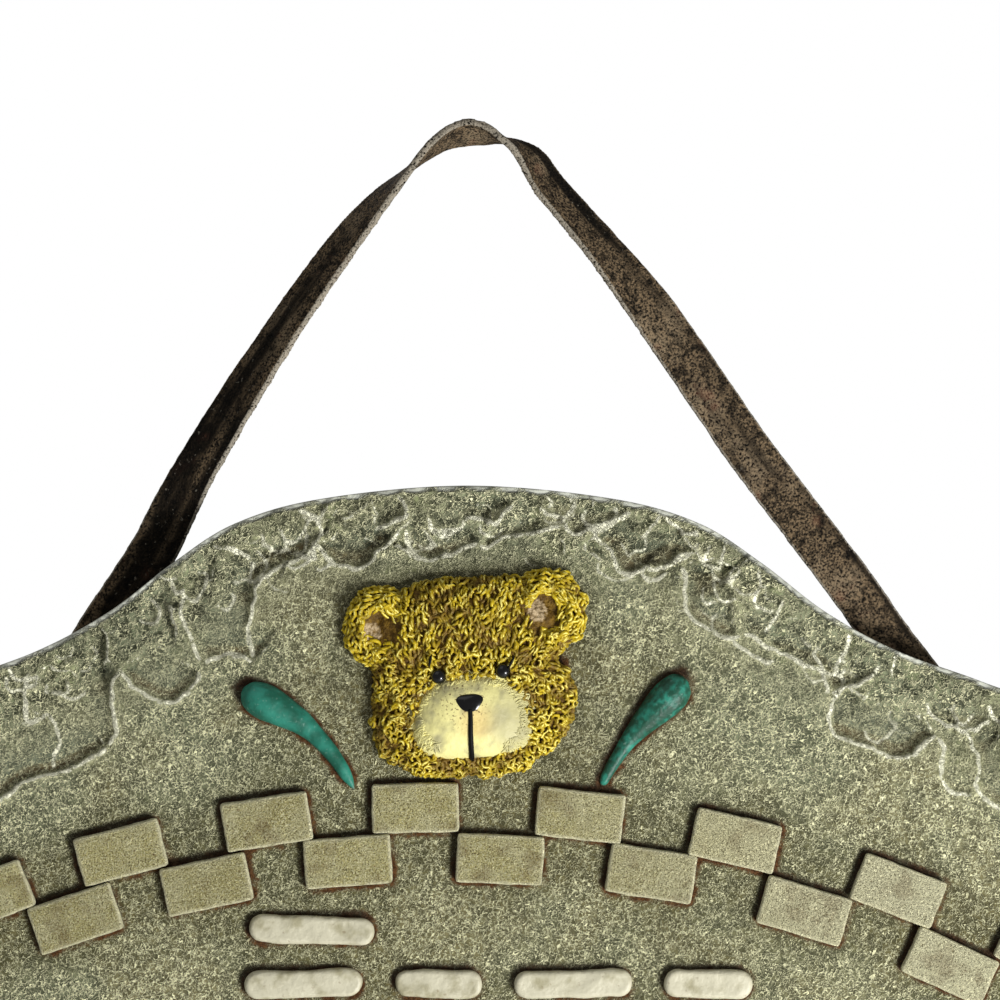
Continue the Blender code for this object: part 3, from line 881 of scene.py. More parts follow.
slab = blank_slab()
for end, before in STRAP_ENDS:
    cut_channel(slab, end, before)
print("blank:", len(slab.data.polygons), "faces")

# %% Sculpt the front
CLAY_CELL = 0.48 * MM
SLAB_TRIANGLES = 190_000
UNTOUCHED = 6.0 * MM  # the half of the slab at the wall keeps its shape


def press_front(slab):
    """Moves the front on to the height map, and stretches the side to follow it."""
    points = points_of(slab)
    depth = -points[:, 1]
    front = sample(height_map, points[:, 0], DOME_TOP - points[:, 2])
    pressed = UNTOUCHED + (depth - UNTOUCHED) * (front - UNTOUCHED) / (SLAB_DEPTH - UNTOUCHED)
    points[:, 1] = -np.where(depth > UNTOUCHED, pressed, np.maximum(depth, 0))
    points[:, 0] = np.clip(points[:, 0], -HALF_WIDTH, HALF_WIDTH)
    points[:, 2] = np.clip(points[:, 2], PLAQUE_LOW[2], DOME_TOP)
    move_points(slab, points)


remesh(slab, CLAY_CELL)
print("clay:", triangles(slab), "triangles")
press_front(slab)
thin_out(slab, SLAB_TRIANGLES)
print("slab:", triangles(slab), "triangles")


# %% Masks for the paint
def mask_slab(slab):
    points = points_of(slab)
    x, drop = points[:, 0], DOME_TOP - points[:, 2]
    rim = sample(rim_map, x, drop)
    for name, field in paint_maps.items():
        paint(slab, name, sample(field, x, drop))
    paint(slab, "border", 1 - ramp(rim, 9 * MM, 22 * MM))
    paint(slab, "flake", ramp(sample(cut_map, x, drop), 0.4 * MM, 1.6 * MM))
    paint(slab, "from_rim", rim / MM)


mask_slab(slab)

# %% [markdown]
# ## Building materials from nodes
#
# The paints are mixed in the shader. These helpers keep that readable: each adds one node, and its
# inputs are numbers, colours or the outputs of other nodes. Colours are written as they look on the
# screen, and are turned into the linear values that the shader works in.

# %% Node helpers
def colour(red, green, blue):
    """A screen colour from 0 to 255 as a linear one."""
    parts = [part / 255 for part in (red, green, blue)]
    return (*(p / 12.92 if p < 0.04045 else ((p + 0.055) / 1.055) ** 2.4 for p in parts), 1.0)


def add(tree, kind, sockets, **settings):
    """A node whose sockets are set to values or joined to other nodes' outputs."""
    made = tree.nodes.new(kind)
    for name, value in settings.items():
        setattr(made, name, value)
    for socket, value in sockets.items():
        if isinstance(value, bpy.types.NodeSocket):
            tree.links.new(value, made.inputs[socket])
        else:
            made.inputs[socket].default_value = value
    return made


def cloudy(tree, place, size, detail=2.0):
    """Noise from 0 to 1 with bumps about size across."""
    sockets = {"Vector": place, "Scale": 1 / size, "Detail": detail}
    return add(tree, "ShaderNodeTexNoise", sockets).outputs["Fac"]


def between(tree, value, low, high):
    """0 where value is under low and 1 where it is over high, or the other way round if low is over high."""
    sockets = {"Value": value, "From Min": low, "From Max": high}
    return add(tree, "ShaderNodeMapRange", sockets, interpolation_type="SMOOTHSTEP").outputs["Result"]


def sums(tree, operation, a, b):
    return add(tree, "ShaderNodeMath", {0: a, 1: b}, operation=operation).outputs["Value"]


def times(tree, a, b):
    return sums(tree, "MULTIPLY", a, b)


def mixed(tree, amount, under, over):
    """A number between two others."""
    return add(tree, "ShaderNodeMix", {0: amount, 2: under, 3: over}, data_type="FLOAT").outputs[0]


def blend(tree, amount, under, over):
    """The colour over laid on the colour under."""
    return add(tree, "ShaderNodeMix", {0: amount, 6: under, 7: over}, data_type="RGBA").outputs[2]


def coat(tree, base, paint_colour, mask, strength=1.0):
    """The base with a coat of paint where the mask is 1."""
    amount = mask if strength == 1.0 else times(tree, mask, strength)
    return blend(tree, amount, base, paint_colour)


def attribute(tree, name):
    return add(tree, "ShaderNodeAttribute", {}, attribute_name=name).outputs["Fac"]


def object_place(tree):
    return add(tree, "ShaderNodeTexCoord", {}).outputs["Object"]


def new_material(name, roughness, specular=0.5):
    made = bpy.data.materials.new(name)
    made.use_nodes = True
    shader = made.node_tree.nodes["Principled BSDF"]
    shader.inputs["Roughness"].default_value = roughness
    shader.inputs["Specular IOR Level"].default_value = specular
    return made, made.node_tree, shader


def finish_material(tree, shader, base, height, distance):
    """Joins the colour and a bump to the shader."""
    tree.links.new(base, shader.inputs["Base Color"])
    bump = add(tree, "ShaderNodeBump", {"Height": height, "Distance": distance})
    tree.links.new(bump.outputs["Normal"], shader.inputs["Normal"])


# %% [markdown]
# ## The grain, shared by the stone and the tiles
#
# The stone's skin is a tangle of little worms, as a stiff brush leaves in thick paint. Their tops
# were brushed with pale paint, partly painted highlight, and the gaps are painted dark, partly
# their paint and partly painted shade. Noise crosses its middle value along winding lines, and
# those lines are the worms. One node group puts out their height for the bump, a mask of the tops
# and a mask of the gaps. The stone and the tiles use it at their own sizes.

# %% The grain group
GRAIN_OUTPUTS = ("Height", "Tops", "Gaps")


def grain_group():
    group = bpy.data.node_groups.new("grain", "ShaderNodeTree")
    group.interface.new_socket("Vector", in_out="INPUT", socket_type="NodeSocketVector")
    group.interface.new_socket("Scale", in_out="INPUT", socket_type="NodeSocketFloat")
    for name in GRAIN_OUTPUTS:
        group.interface.new_socket(name, in_out="OUTPUT", socket_type="NodeSocketFloat")
    start, end = group.nodes.new("NodeGroupInput"), group.nodes.new("NodeGroupOutput")
    place, scale = start.outputs["Vector"], start.outputs["Scale"]
    worms = []
    for fineness, width in ((1.0, 0.045), (1.6, 0.055)):
        wide = times(group, scale, fineness)
        sockets = {"Vector": place, "Scale": wide, "Detail": 2.0, "Distortion": 0.5}
        noise = add(group, "ShaderNodeTexNoise", sockets)
        from_middle = sums(group, "ABSOLUTE", sums(group, "SUBTRACT", noise.outputs["Fac"], 0.5), 0.0)
        worms.append(between(group, from_middle, width, 0.0))
    sockets = {"Vector": place, "Scale": times(group, scale, 0.7), "Detail": 2.0}
    mounds = add(group, "ShaderNodeTexNoise", sockets)
    worm = sums(group, "MAXIMUM", worms[0], times(group, worms[1], 0.85))
    height = sums(group, "ADD", times(group, worm, 0.55), times(group, mounds.outputs["Fac"], 0.70))
    group.links.new(height, end.inputs["Height"])
    group.links.new(between(group, height, 0.58, 0.68), end.inputs["Tops"])
    group.links.new(between(group, height, 0.44, 0.28), end.inputs["Gaps"])
    return group


GRAIN = grain_group()


def grain(tree, place, size):
    return add(tree, "ShaderNodeGroup", {"Vector": place, "Scale": 1 / size}, node_tree=GRAIN).outputs


print("group:", GRAIN.name)

# %% [markdown]
# ## The stone's paint
#
# From below upwards: a grey-green coat, mossy yellow near the rim, a brown film between the
# pieces that is partly painted shade, cool grey in the flakes with painted shade in the hollows,
# brown wash and painted shade at the flakes' deep ends, dark gaps of the grain that are partly
# painted shade and its pale tops, brown wash in the corners with painted shadow at the upper left
# of each piece, and last the pale lines where the brush caught the sharp ridges. Masks painted on
# the mesh say where each belongs. They count on the front alone, because the plain back has too
# few points to carry them.

# %% Stone paint
GRAIN_SIZE = 1.20 * MM
BORDER_GRAIN_SIZE = 1.55 * MM
GRAIN_DEPTH = 1.8 * MM
FRONT_DEPTHS = (-7 * MM, -9 * MM)  # in y: the masks start behind the front and are whole on it
RIM_DEPTHS = (-9.4 * MM, -9.9 * MM)
STONE = colour(112, 116, 88)
STONE_WARM = colour(120, 115, 80)
STONE_DARK = colour(44, 46, 30)
MOSS = colour(152, 160, 100)
DRY_BRUSH_AND_HIGHLIGHT = colour(255, 252, 204)
CREST_PALE = colour(252, 250, 220)
BROWN_WASH = colour(92, 60, 30)
SHADOWED_WASH = colour(38, 30, 18)
FILM_BROWN_AND_SHADE = colour(88, 82, 46)
RIM_PALE = colour(196, 198, 186)
BORDER_GREY = colour(158, 166, 134)
FLAKE_GREY = colour(116, 124, 102)
RIDGE_PALE = colour(186, 186, 142)
OCHRE = colour(146, 122, 72)
PIT_BROWN_AND_SHADE = colour(104, 84, 54)


def stone_paint():
    made, tree, shader = new_material("stone_paint", roughness=0.72, specular=0.2)
    place = object_place(tree)
    depth = add(tree, "ShaderNodeSeparateXYZ", {"Vector": place}).outputs["Y"]
    front = between(tree, depth, *FRONT_DEPTHS)
    mask = {name: times(tree, attribute(tree, name), front) for name in (*paint_maps, "border", "flake")}
    border, flake = mask["border"], mask["flake"]
    rim = between(tree, attribute(tree, "from_rim"), 1.4, 0.8)
    rim = times(tree, rim, between(tree, depth, *RIM_DEPTHS))
    fine, coarse = grain(tree, place, GRAIN_SIZE), grain(tree, place, BORDER_GRAIN_SIZE)
    grit = {name: mixed(tree, border, fine[name], coarse[name]) for name in GRAIN_OUTPUTS}

    base = blend(tree, between(tree, cloudy(tree, place, 22 * MM), 0.4, 0.62), STONE, STONE_WARM)
    mossy = times(tree, between(tree, cloudy(tree, place, 6 * MM, 3.0), 0.52, 0.70), border)
    base = coat(tree, base, MOSS, mossy, 0.6)
    # A brown film between the pieces, partly painted shade that darkens the field there
    film_and_shade = between(tree, mask["film_and_shade"], 0.04, 0.34)
    base = coat(tree, base, FILM_BROWN_AND_SHADE, film_and_shade, 0.75)
    base = coat(tree, base, BORDER_GREY, border, 0.35)
    base = coat(tree, base, FLAKE_GREY, flake, 0.7)
    high = times(tree, between(tree, mask["hollow"], -0.2, -0.9), border)
    glowing = times(tree, between(tree, mask["glow"], 0.04, 0.30), sums(tree, "SUBTRACT", 1.0, flake))
    base = coat(tree, base, RIDGE_PALE, sums(tree, "MAXIMUM", high, glowing), 0.5)
    # Painted shade: darker in the hollows, and a little over the flakes' floors
    low = times(tree, between(tree, mask["hollow"], 0.3, 1.5), 0.35)
    base = coat(tree, base, STONE_DARK, sums(tree, "ADD", times(tree, flake, 0.15), low))

    # The flakes' deep ends, on walls that face up: ochre wash, and brown that is partly wash and partly
    # painted shade
    base = coat(tree, base, OCHRE, times(tree, between(tree, mask["faces_up"], 0.02, 0.25), flake), 0.35)
    stain = between(tree, cloudy(tree, place, 9 * MM, 3.0), 0.48, 0.60)
    pit = times(tree, between(tree, mask["faces_up"], 0.12, 0.50), flake)
    pit = times(tree, pit, sums(tree, "ADD", times(tree, stain, 0.6), 0.4))
    base = coat(tree, base, PIT_BROWN_AND_SHADE, pit, 0.65)

    # The grain's dark gaps, partly paint and partly painted shade, and its brushed tops, partly painted
    # highlight
    gaps = times(tree, grit["Gaps"], sums(tree, "ADD", times(tree, border, 0.30), 0.55))
    base = coat(tree, base, STONE_DARK, gaps)
    patchy = between(tree, cloudy(tree, place, 8 * MM, 3.0), 0.34, 0.60)
    dryness = mixed(tree, border, sums(tree, "ADD", times(tree, patchy, 0.2), 0.8), patchy)
    worn = sums(tree, "SUBTRACT", 1.0, times(tree, flake, 0.25))
    brushed_and_lit = times(tree, times(tree, grit["Tops"], worn), sums(tree, "ADD", times(tree, dryness, 0.5), 0.5))
    caught = times(tree, times(tree, between(tree, grit["Height"], 0.42, 0.60), glowing), 0.75)
    brushed_and_lit = times(tree, sums(tree, "MAXIMUM", brushed_and_lit, caught), mixed(tree, front, 0.3, 1.0))
    brushed_and_lit = times(tree, brushed_and_lit, sums(tree, "SUBTRACT", 1.0, times(tree, film_and_shade, 0.35)))
    base = coat(tree, base, DRY_BRUSH_AND_HIGHLIGHT, brushed_and_lit)

    # The wash in the corners with its painted shadow at the upper left of each piece, and the lines on the
    # ridges and the rim
    smears = sums(tree, "ADD", between(tree, cloudy(tree, place, 4 * MM, 4.0), 0.36, 0.60), 0.25)
    corner = times(tree, between(tree, mask["wash"], 0.02, 0.30), smears)
    base = coat(tree, base, BROWN_WASH, corner, 0.85)
    # Brown wash darkened by painted shadow at the upper left of each piece
    base = coat(tree, base, SHADOWED_WASH, between(tree, mask["shadowed_wash"], 0.15, 0.60), 0.7)
    broken = sums(tree, "ADD", cloudy(tree, place, 1.2 * MM, 3.0), times(tree, grit["Tops"], 0.2))
    crests, ridges = between(tree, mask["crest"], 0.15, 0.5), between(tree, mask["ridge"], 0.6, 1.4)
    edges = sums(tree, "MAXIMUM", crests, ridges)
    base = coat(tree, base, CREST_PALE, times(tree, edges, between(tree, broken, 0.35, 0.50)))
    base = coat(tree, base, RIM_PALE, rim, 0.9)

    rough_border = sums(tree, "ADD", times(tree, border, 0.4), 0.6)
    rough_border = times(tree, rough_border, sums(tree, "SUBTRACT", 1.0, rim))
    finish_material(tree, shader, base, times(tree, grit["Height"], rough_border), distance=GRAIN_DEPTH)
    return made


settle(slab, "plaque", stone_paint())

# %% [markdown]
# ## The chequered arch
#
# The tiles are flat stones with soft edges. One is modelled: a cube gets its size, its edges are
# bevelled, and a remesh gives it an even skin. Every copy has its own mesh, is turned along the
# arch and gets its own unevenness from a cloudy pattern that lies still in space. The edge and the
# tone of each are kept as masks for its paint. The edges get a pale painted highlight, and the
# paint gets paler towards the arch's right end as painted light from the side the main light comes
# from.

# %% Tiles
TILE_ROOT = 1.0 * MM
TILE_BEVEL = 0.5 * MM
TILE_CELL = 0.42 * MM
TILE_SEED = 3
TILE_SHIFT = 0.25  # in millimetres, each way
TILE_SINK = 0.15
TILE_TWIST = 0.012  # in radians


def cube_blank(length, depth, height):
    """A cube of the given size, lying round the world's origin."""
    bpy.ops.mesh.primitive_cube_add(size=1)
    blank = bpy.context.object
    blank.scale = (length, depth, height)
    bpy.ops.object.transform_apply(scale=True)
    return blank


def copy_to(pattern, x, drop, height, angle):
    """A copy with its own mesh, turned and moved to its place on the front."""
    choose(pattern)
    bpy.ops.object.duplicate()
    piece = bpy.context.object
    piece.location = at(x, drop, height)
    piece.rotation_euler = (0, angle, 0)
    bpy.ops.object.transform_apply()
    return piece


def model_tile():
    tile = cube_blank(TILE_LENGTH, TILE_RISE + TILE_ROOT, TILE_HEIGHT)
    edit_all(tile)
    bpy.ops.mesh.bevel(offset=TILE_BEVEL, segments=3, affect="EDGES")
    bpy.ops.object.mode_set(mode="OBJECT")
    remesh(tile, TILE_CELL)
    points = np.abs(points_of(tile))
    from_edge = np.minimum(TILE_LENGTH / 2 - points[:, 0], TILE_HEIGHT / 2 - points[:, 2])
    paint(tile, "edge", 1 - ramp(from_edge, 0.2 * MM, 0.65 * MM))
    return tile


def tile_arch():
    chance = np.random.default_rng(TILE_SEED)
    pattern = model_tile()
    tiles = []
    for x, drop, angle in tile_places():
        right, down = chance.uniform(-TILE_SHIFT, TILE_SHIFT, 2) * MM
        height = (TILE_RISE - TILE_ROOT) / 2 + chance.uniform(-TILE_SINK, 0.0) * MM
        turn = angle + chance.uniform(-TILE_TWIST, TILE_TWIST)
        tile = copy_to(pattern, x + right, drop + down, height, turn)
        paint(tile, "tone", np.full(len(tile.data.vertices), chance.uniform()))
        tiles.append(tile)
    bpy.data.objects.remove(pattern)
    return join(tiles, "tile_arch")


tiles = tile_arch()
bumps(tiles, size=5.0 * MM, strength=0.35 * MM)
bumps(tiles, size=1.6 * MM, strength=0.14 * MM)
print("tiles:", triangles(tiles), "triangles")

# %% Tile paint
TILE_STONE = colour(216, 206, 140)
TILE_PALE = colour(238, 233, 188)
TILE_LIT = colour(255, 252, 214)
TILE_SHADE = colour(104, 94, 54)
TILE_STAIN = colour(104, 76, 40)
TILE_EDGE_HIGHLIGHT = colour(255, 249, 206)
LIT_SPAN = (0.0, 95 * MM)  # in x, from where to where the arch gets paler


def foot_mask(tree, place, height):
    """1 at the field and 0 from height above it, for a piece's brown foot."""
    depth = add(tree, "ShaderNodeSeparateXYZ", {"Vector": place}).outputs["Y"]
    return between(tree, depth, -SLAB_DEPTH - height, -SLAB_DEPTH - 0.1 * MM)


def tile_paint():
    made, tree, shader = new_material("tile_paint", roughness=0.66, specular=0.25)
    place = object_place(tree)
    grit = grain(tree, place, 0.50 * MM)
    tone, edge = attribute(tree, "tone"), attribute(tree, "edge")
    base = blend(tree, times(tree, tone, 0.30), TILE_STONE, TILE_SHADE)
    # Painted light: paler towards the arch's right end, the side the main light comes from
    rightness = add(tree, "ShaderNodeSeparateXYZ", {"Vector": place}).outputs["X"]
    base = coat(tree, base, TILE_LIT, between(tree, rightness, *LIT_SPAN), 0.75)
    clouds = between(tree, cloudy(tree, place, 5 * MM, 4.0), 0.40, 0.65)
    base = coat(tree, base, TILE_PALE, clouds, 0.4)
    sand = cloudy(tree, place, 0.30 * MM, 2.0)
    base = coat(tree, base, TILE_SHADE, between(tree, sand, 0.47, 0.35), 0.8)
    base = coat(tree, base, TILE_PALE, between(tree, sand, 0.52, 0.62), 0.9)
    base = coat(tree, base, TILE_SHADE, grit["Gaps"], 0.45)
    specks = between(tree, cloudy(tree, place, 1.0 * MM, 3.0), 0.66, 0.71)
    stains = times(tree, between(tree, cloudy(tree, place, 7 * MM, 5.0), 0.52, 0.66), 0.6)
    base = coat(tree, base, TILE_STAIN, sums(tree, "MAXIMUM", specks, stains), 0.6)
    # A pale painted highlight along every edge, broken up by noise
    broken = between(tree, cloudy(tree, place, 1.8 * MM, 2.0), 0.24, 0.42)
    base = coat(tree, base, TILE_EDGE_HIGHLIGHT, times(tree, edge, broken))
    base = coat(tree, base, BROWN_WASH, foot_mask(tree, place, 0.6 * MM), 0.9)
    finish_material(tree, shader, base, sums(tree, "ADD", grit["Height"], sand), distance=0.7 * MM)
    return made


settle(tiles, "plaque", tile_paint())

# %% [markdown]
# ## The brush strokes
#
# Rows of short white bars, like plain brush strokes, fill the field. Each is a cube: the upright
# edges are bevelled until its ends are round, then the front edge is softened. Together they get
# one even skin and some wobble, so that they look modelled by hand.

# %% Strokes
STROKE_ROOT = 1.0 * MM
STROKE_ROUNDNESS = 0.48  # of its thickness
STROKE_SOFTNESS = 0.9 * MM
STROKE_CELL = 0.45 * MM


def model_stroke(x, drop, length, tilt):
    depth = STROKE_RISE + STROKE_ROOT
    stroke = cube_blank(length, depth, STROKE_THICKNESS)
    bpy.ops.object.mode_set(mode="EDIT")
    pick_edges(stroke, lambda a, b: abs(a.y - b.y) > depth / 2)
    bpy.ops.mesh.bevel(offset=STROKE_ROUNDNESS * STROKE_THICKNESS, segments=8, affect="EDGES")
    pick_edges(stroke, lambda a, b: max(a.y, b.y) < 0)
    bpy.ops.mesh.bevel(offset=STROKE_SOFTNESS, segments=4, affect="EDGES")
    bpy.ops.object.mode_set(mode="OBJECT")
    stroke.location = at(x, drop, (STROKE_RISE - STROKE_ROOT) / 2)
    stroke.rotation_euler = (0, tilt, 0)
    bpy.ops.object.transform_apply()
    return stroke


strokes = join([model_stroke(*place) for place in stroke_places()], "brush_strokes")
remesh(strokes, STROKE_CELL)
bumps(strokes, size=6.0 * MM, strength=0.7 * MM)
bumps(strokes, size=1.8 * MM, strength=0.18 * MM)
print("strokes:", triangles(strokes), "triangles")

# %% Stroke paint
STROKE_WHITE = colour(192, 187, 162)
STROKE_GREY = colour(158, 152, 122)


def stroke_paint():
    made, tree, shader = new_material("stroke_paint", roughness=0.5)
    place = object_place(tree)
    greyness = between(tree, cloudy(tree, place, 4 * MM, 3.0), 0.45, 0.7)
    base = blend(tree, greyness, STROKE_WHITE, STROKE_GREY)
    dirt = between(tree, cloudy(tree, place, 1.1 * MM, 3.0), 0.64, 0.74)
    base = coat(tree, base, TILE_STAIN, dirt, 0.4)
    base = coat(tree, base, BROWN_WASH, foot_mask(tree, place, 0.9 * MM))
    finish_material(tree, shader, base, cloudy(tree, place, 0.9 * MM, 2.0), distance=0.15 * MM)
    return made


settle(strokes, "plaque", stroke_paint())

# %% [markdown]
# ## The teardrop marks
#
# Each mark is a bent drop of clay pressed on to the stone. A curve follows the line of its middle
# and swells with its half width, which is what a curve's bevel and the radius of its points are
# for. Converted to a mesh, it is flattened a little and gets an even skin.

# %% Marks
MARK_FLATNESS = 0.9
MARK_CELL = 0.3 * MM


def tube_along(name, line, radii):
    """A round tube through the points of a line, with a radius at each."""
    curve = bpy.data.curves.new(name, "CURVE")
    curve.dimensions = "3D"
    curve.bevel_depth = 1.0
    curve.bevel_resolution = 6
    curve.use_fill_caps = True
    spline = curve.splines.new("POLY")
    spline.points.add(len(line) - 1)
    for point, place, radius in zip(spline.points, line, radii):
        point.co = (*place, 1.0)
        point.radius = radius
    tube = bpy.data.objects.new(name, curve)
    bpy.context.scene.collection.objects.link(tube)
    choose(tube)
    bpy.ops.object.convert(target="MESH")
    return bpy.context.object


def model_mark(name, route):
    bent = smooth(route, MARK_STEPS) * MM
    mark = tube_along(name, [(x, 0, -drop) for x, drop, _ in bent], bent[:, 2])
    mark.scale.y = MARK_FLATNESS
    mark.location = at(0, 0)
    bpy.ops.object.transform_apply()
    remesh(mark, MARK_CELL)
    bumps(mark, size=4.0 * MM, strength=0.25 * MM)
    return mark


marks = [model_mark("left_mark", LEFT_MARK), model_mark("right_mark", RIGHT_MARK)]
print("marks:", [triangles(mark) for mark in marks])

# %% Mark paint
TEAL = colour(46, 132, 112)
TEAL_DEEP = colour(26, 88, 70)
TEAL_DUST = colour(128, 160, 146)
TEAL_GRIME_AND_SHADE = colour(24, 58, 40)
# Dark specks, partly grime and partly painted shade that makes the right mark darker as a whole
GRIME_AND_SHADE = (0.10, 0.80)  # of the left mark and of the right


def mark_paint(grime_and_shade):
    made, tree, shader = new_material("mark_paint", roughness=0.45, specular=0.3)
    place = object_place(tree)
    base = blend(tree, between(tree, cloudy(tree, place, 5 * MM, 3.0), 0.35, 0.65), TEAL, TEAL_DEEP)
    specks = between(tree, cloudy(tree, place, 1.6 * MM, 4.0), 0.36, 0.60)
    base = coat(tree, base, TEAL_GRIME_AND_SHADE, times(tree, specks, grime_and_shade))
    dust = between(tree, cloudy(tree, place, 0.7 * MM, 3.0), 0.60, 0.75)
    base = coat(tree, base, TEAL_DUST, dust, 0.35)
    base = coat(tree, base, BROWN_WASH, foot_mask(tree, place, 0.5 * MM), 0.8)
    finish_material(tree, shader, base, cloudy(tree, place, 0.8 * MM, 2.0), distance=0.12 * MM)
    return made


for mark, grime_and_shade in zip(marks, GRIME_AND_SHADE):
    settle(mark, "plaque", mark_paint(grime_and_shade))

# %% [markdown]
# ## The bear's forms
#
# The head, ears, muzzle, nose and eyes are squashed balls, some squarer than round, one narrower at
# the top, and the ears have a hollow. One function turns directions from a form's middle into
# points on its skin. It shapes the spheres that the forms start from, and later lays every curl of
# the fur on the same skin.

# %% Points on a form
def tilt_matrix():
    """Turns a form's own axes into the plaque's: the head leans to its left."""
    return np.array(Matrix.Rotation(HEAD_TILT, 3, "Y"))


def middle_of(form):
    (x, drop), height = form["place"], form.get("height", 0.0)
    return np.array(at(x * MM, drop * MM, height * MM))


def unit(vectors):
    return vectors / np.linalg.norm(vectors, axis=-1, keepdims=True)


def skin(form, directions):
    """The points where directions from the form's middle leave its skin, and the skin's normals there."""
    power = form.get("squareness", 2.0)
    size = np.array(form["size"]) * MM
    directions = unit(directions)
    shape = directions * (np.abs(directions) ** power).sum(axis=-1, keepdims=True) ** (-1 / power)
    local = shape * size
    local[..., 0] *= 1 - form.get("taper", 0.0) * shape[..., 2]
    round_about = np.degrees(np.arctan2(shape[..., 2], shape[..., 0]))
    for angle, width, depth in form.get("dents", []):
        off = (round_about - angle + 180) % 360 - 180
        local[..., ::2] *= (1 - depth * np.exp(-((off / width) ** 2)))[..., None]
    flat = np.hypot(directions[..., 0], directions[..., 2])
    local[..., 1] += form.get("hollow", 0.0) * MM * np.clip(1 - (flat / 0.6) ** 2, 0, None)
    normals = unit(np.sign(shape) * np.abs(shape) ** (power - 1) / size)
    turn = tilt_matrix()
    return middle_of(form) + local @ turn.T, normals @ turn.T


def direction_to(form, places):
    """The directions, in the form's own stretched axes, in which the places lie."""
    return (places - middle_of(form)) @ tilt_matrix() / (np.array(form["size"]) * MM)


def model_form(name, form, detail):
    bpy.ops.mesh.primitive_ico_sphere_add(subdivisions=detail, radius=1)
    ball = bpy.context.object
    ball.name = name
    move_points(ball, skin(form, points_of(ball))[0])
    return ball


# %% The hide under the fur
HIDE_CELL = 0.55 * MM
head = model_form("head", HEAD, detail=6)
ears = [model_form("ear", form, detail=5) for form in (LEFT_EAR, RIGHT_EAR)]
hide = join([head, *ears], "hide")
remesh(hide, HIDE_CELL)
bumps(hide, size=2.4 * MM, strength=1.0 * MM)
print("hide:", triangles(hide), "triangles")

# %% [markdown]
# ## The fur
#
# The sculptor laid the fur on in little worms of clay: waves down the forehead, arcs round the
# ears, hooks and rings on the cheeks. There are well over a thousand, so they aren't placed by
# hand. Random spots are thrown on the skin and kept where no other is too near. Each gets a short
# line in the skin's own plane, and all the lines become tubes in one plain mesh. A hair system
# would be lost in the export, but this is plain mesh.

# %% Where the curls start
CURL_SEED = 8
CURL_SPACING = 0.74 * MM
DARTS = 26_000
FUR_FOOT = 0.4 * MM  # above the field


def inside(form, places, scale=1.0, shift=(0.0, 0.0)):
    """Whether the places, seen from the front, lie within the form's outline times scale, moved by shift."""
    spread = direction_to(form, places)
    power = form.get("squareness", 2.0)
    width = 1 - form.get("taper", 0.0) * spread[..., 2]
    along, above = np.abs(spread[..., 0] / width - shift[0]), np.abs(spread[..., 2] - shift[1])
    return along**power + above**power < scale**power


def bald(form, places):
    """Where there is no fur: on the muzzle, eyes and ears' hollows, and where ear and head overlap."""
    found = inside(MUZZLE, places, 0.90)
    for eye in EYES:
        found |= inside(eye, places, 1.25)
    if form is HEAD:
        found |= inside(LEFT_EAR, places, 0.60) | inside(RIGHT_EAR, places, 0.60)
    else:
        found |= inside(form, places, 0.28, form["bare"]) | inside(HEAD, places, 0.80)
    return found


def scatter(form, chance):
    """Directions of spots on the form's front, none too near another."""
    darts = chance.normal(size=(DARTS if form is HEAD else DARTS // 4, 3))
    darts[:, 1] = -np.abs(darts[:, 1])
    places, _ = skin(form, darts)
    above = -places[:, 1] - SLAB_DEPTH
    usable = (above > FUR_FOOT) & ~bald(form, places)
    kept_places, kept = np.full((len(darts), 3), np.inf), []
    for i in np.flatnonzero(usable):
        gaps = kept_places[: len(kept)] - places[i]
        if len(kept) == 0 or (gaps**2).sum(axis=1).min() > CURL_SPACING**2:
            kept_places[len(kept)] = places[i]
            kept.append(i)
    return unit(darts[kept])


chance = np.random.default_rng(CURL_SEED)
spots = [(form, scatter(form, chance)) for form in (HEAD, LEFT_EAR, RIGHT_EAR)]
print("curls:", [len(directions) for _, directions in spots])

# %% The line of each curl, as (along, across, lift) in millimetres
CURL_POINTS = 8
SHARE = np.linspace(0, 1, CURL_POINTS)  # of the way along a curl


def arched(chance):
    """The lift of a curl whose ends touch the skin."""
    return chance.uniform(0.2, 0.5) * np.sin(np.pi * SHARE)


def wave(chance):
    length, swing = chance.uniform(1.5, 2.8), chance.uniform(0.10, 0.34)
    bend = swing * np.sin(2 * np.pi * SHARE * chance.uniform(0.6, 1.1) + chance.uniform(0, 6))
    return length * (SHARE - 0.5), bend, arched(chance)


def hook(chance):
    sweep, radius = math.radians(chance.uniform(90, 220)), chance.uniform(0.5, 1.0)
    angle = sweep * (SHARE - 0.5) * chance.choice([-1, 1])
    return radius * np.sin(angle), radius * (np.cos(angle) - 0.5), arched(chance)


def ring(chance):
    angle = math.radians(chance.uniform(240, 350)) * SHARE * chance.choice([-1, 1])
    radius = chance.uniform(0.65, 1.0) * (1 - 0.4 * SHARE)
    return radius * np.sin(angle), radius * np.cos(angle), 0.2 + 0.35 * SHARE


def arc(chance):
    length, sag = chance.uniform(1.4, 2.6), chance.uniform(0.1, 0.6)
    return length * (SHARE - 0.5), sag * (1 - (2 * SHARE - 1) ** 2), arched(chance)


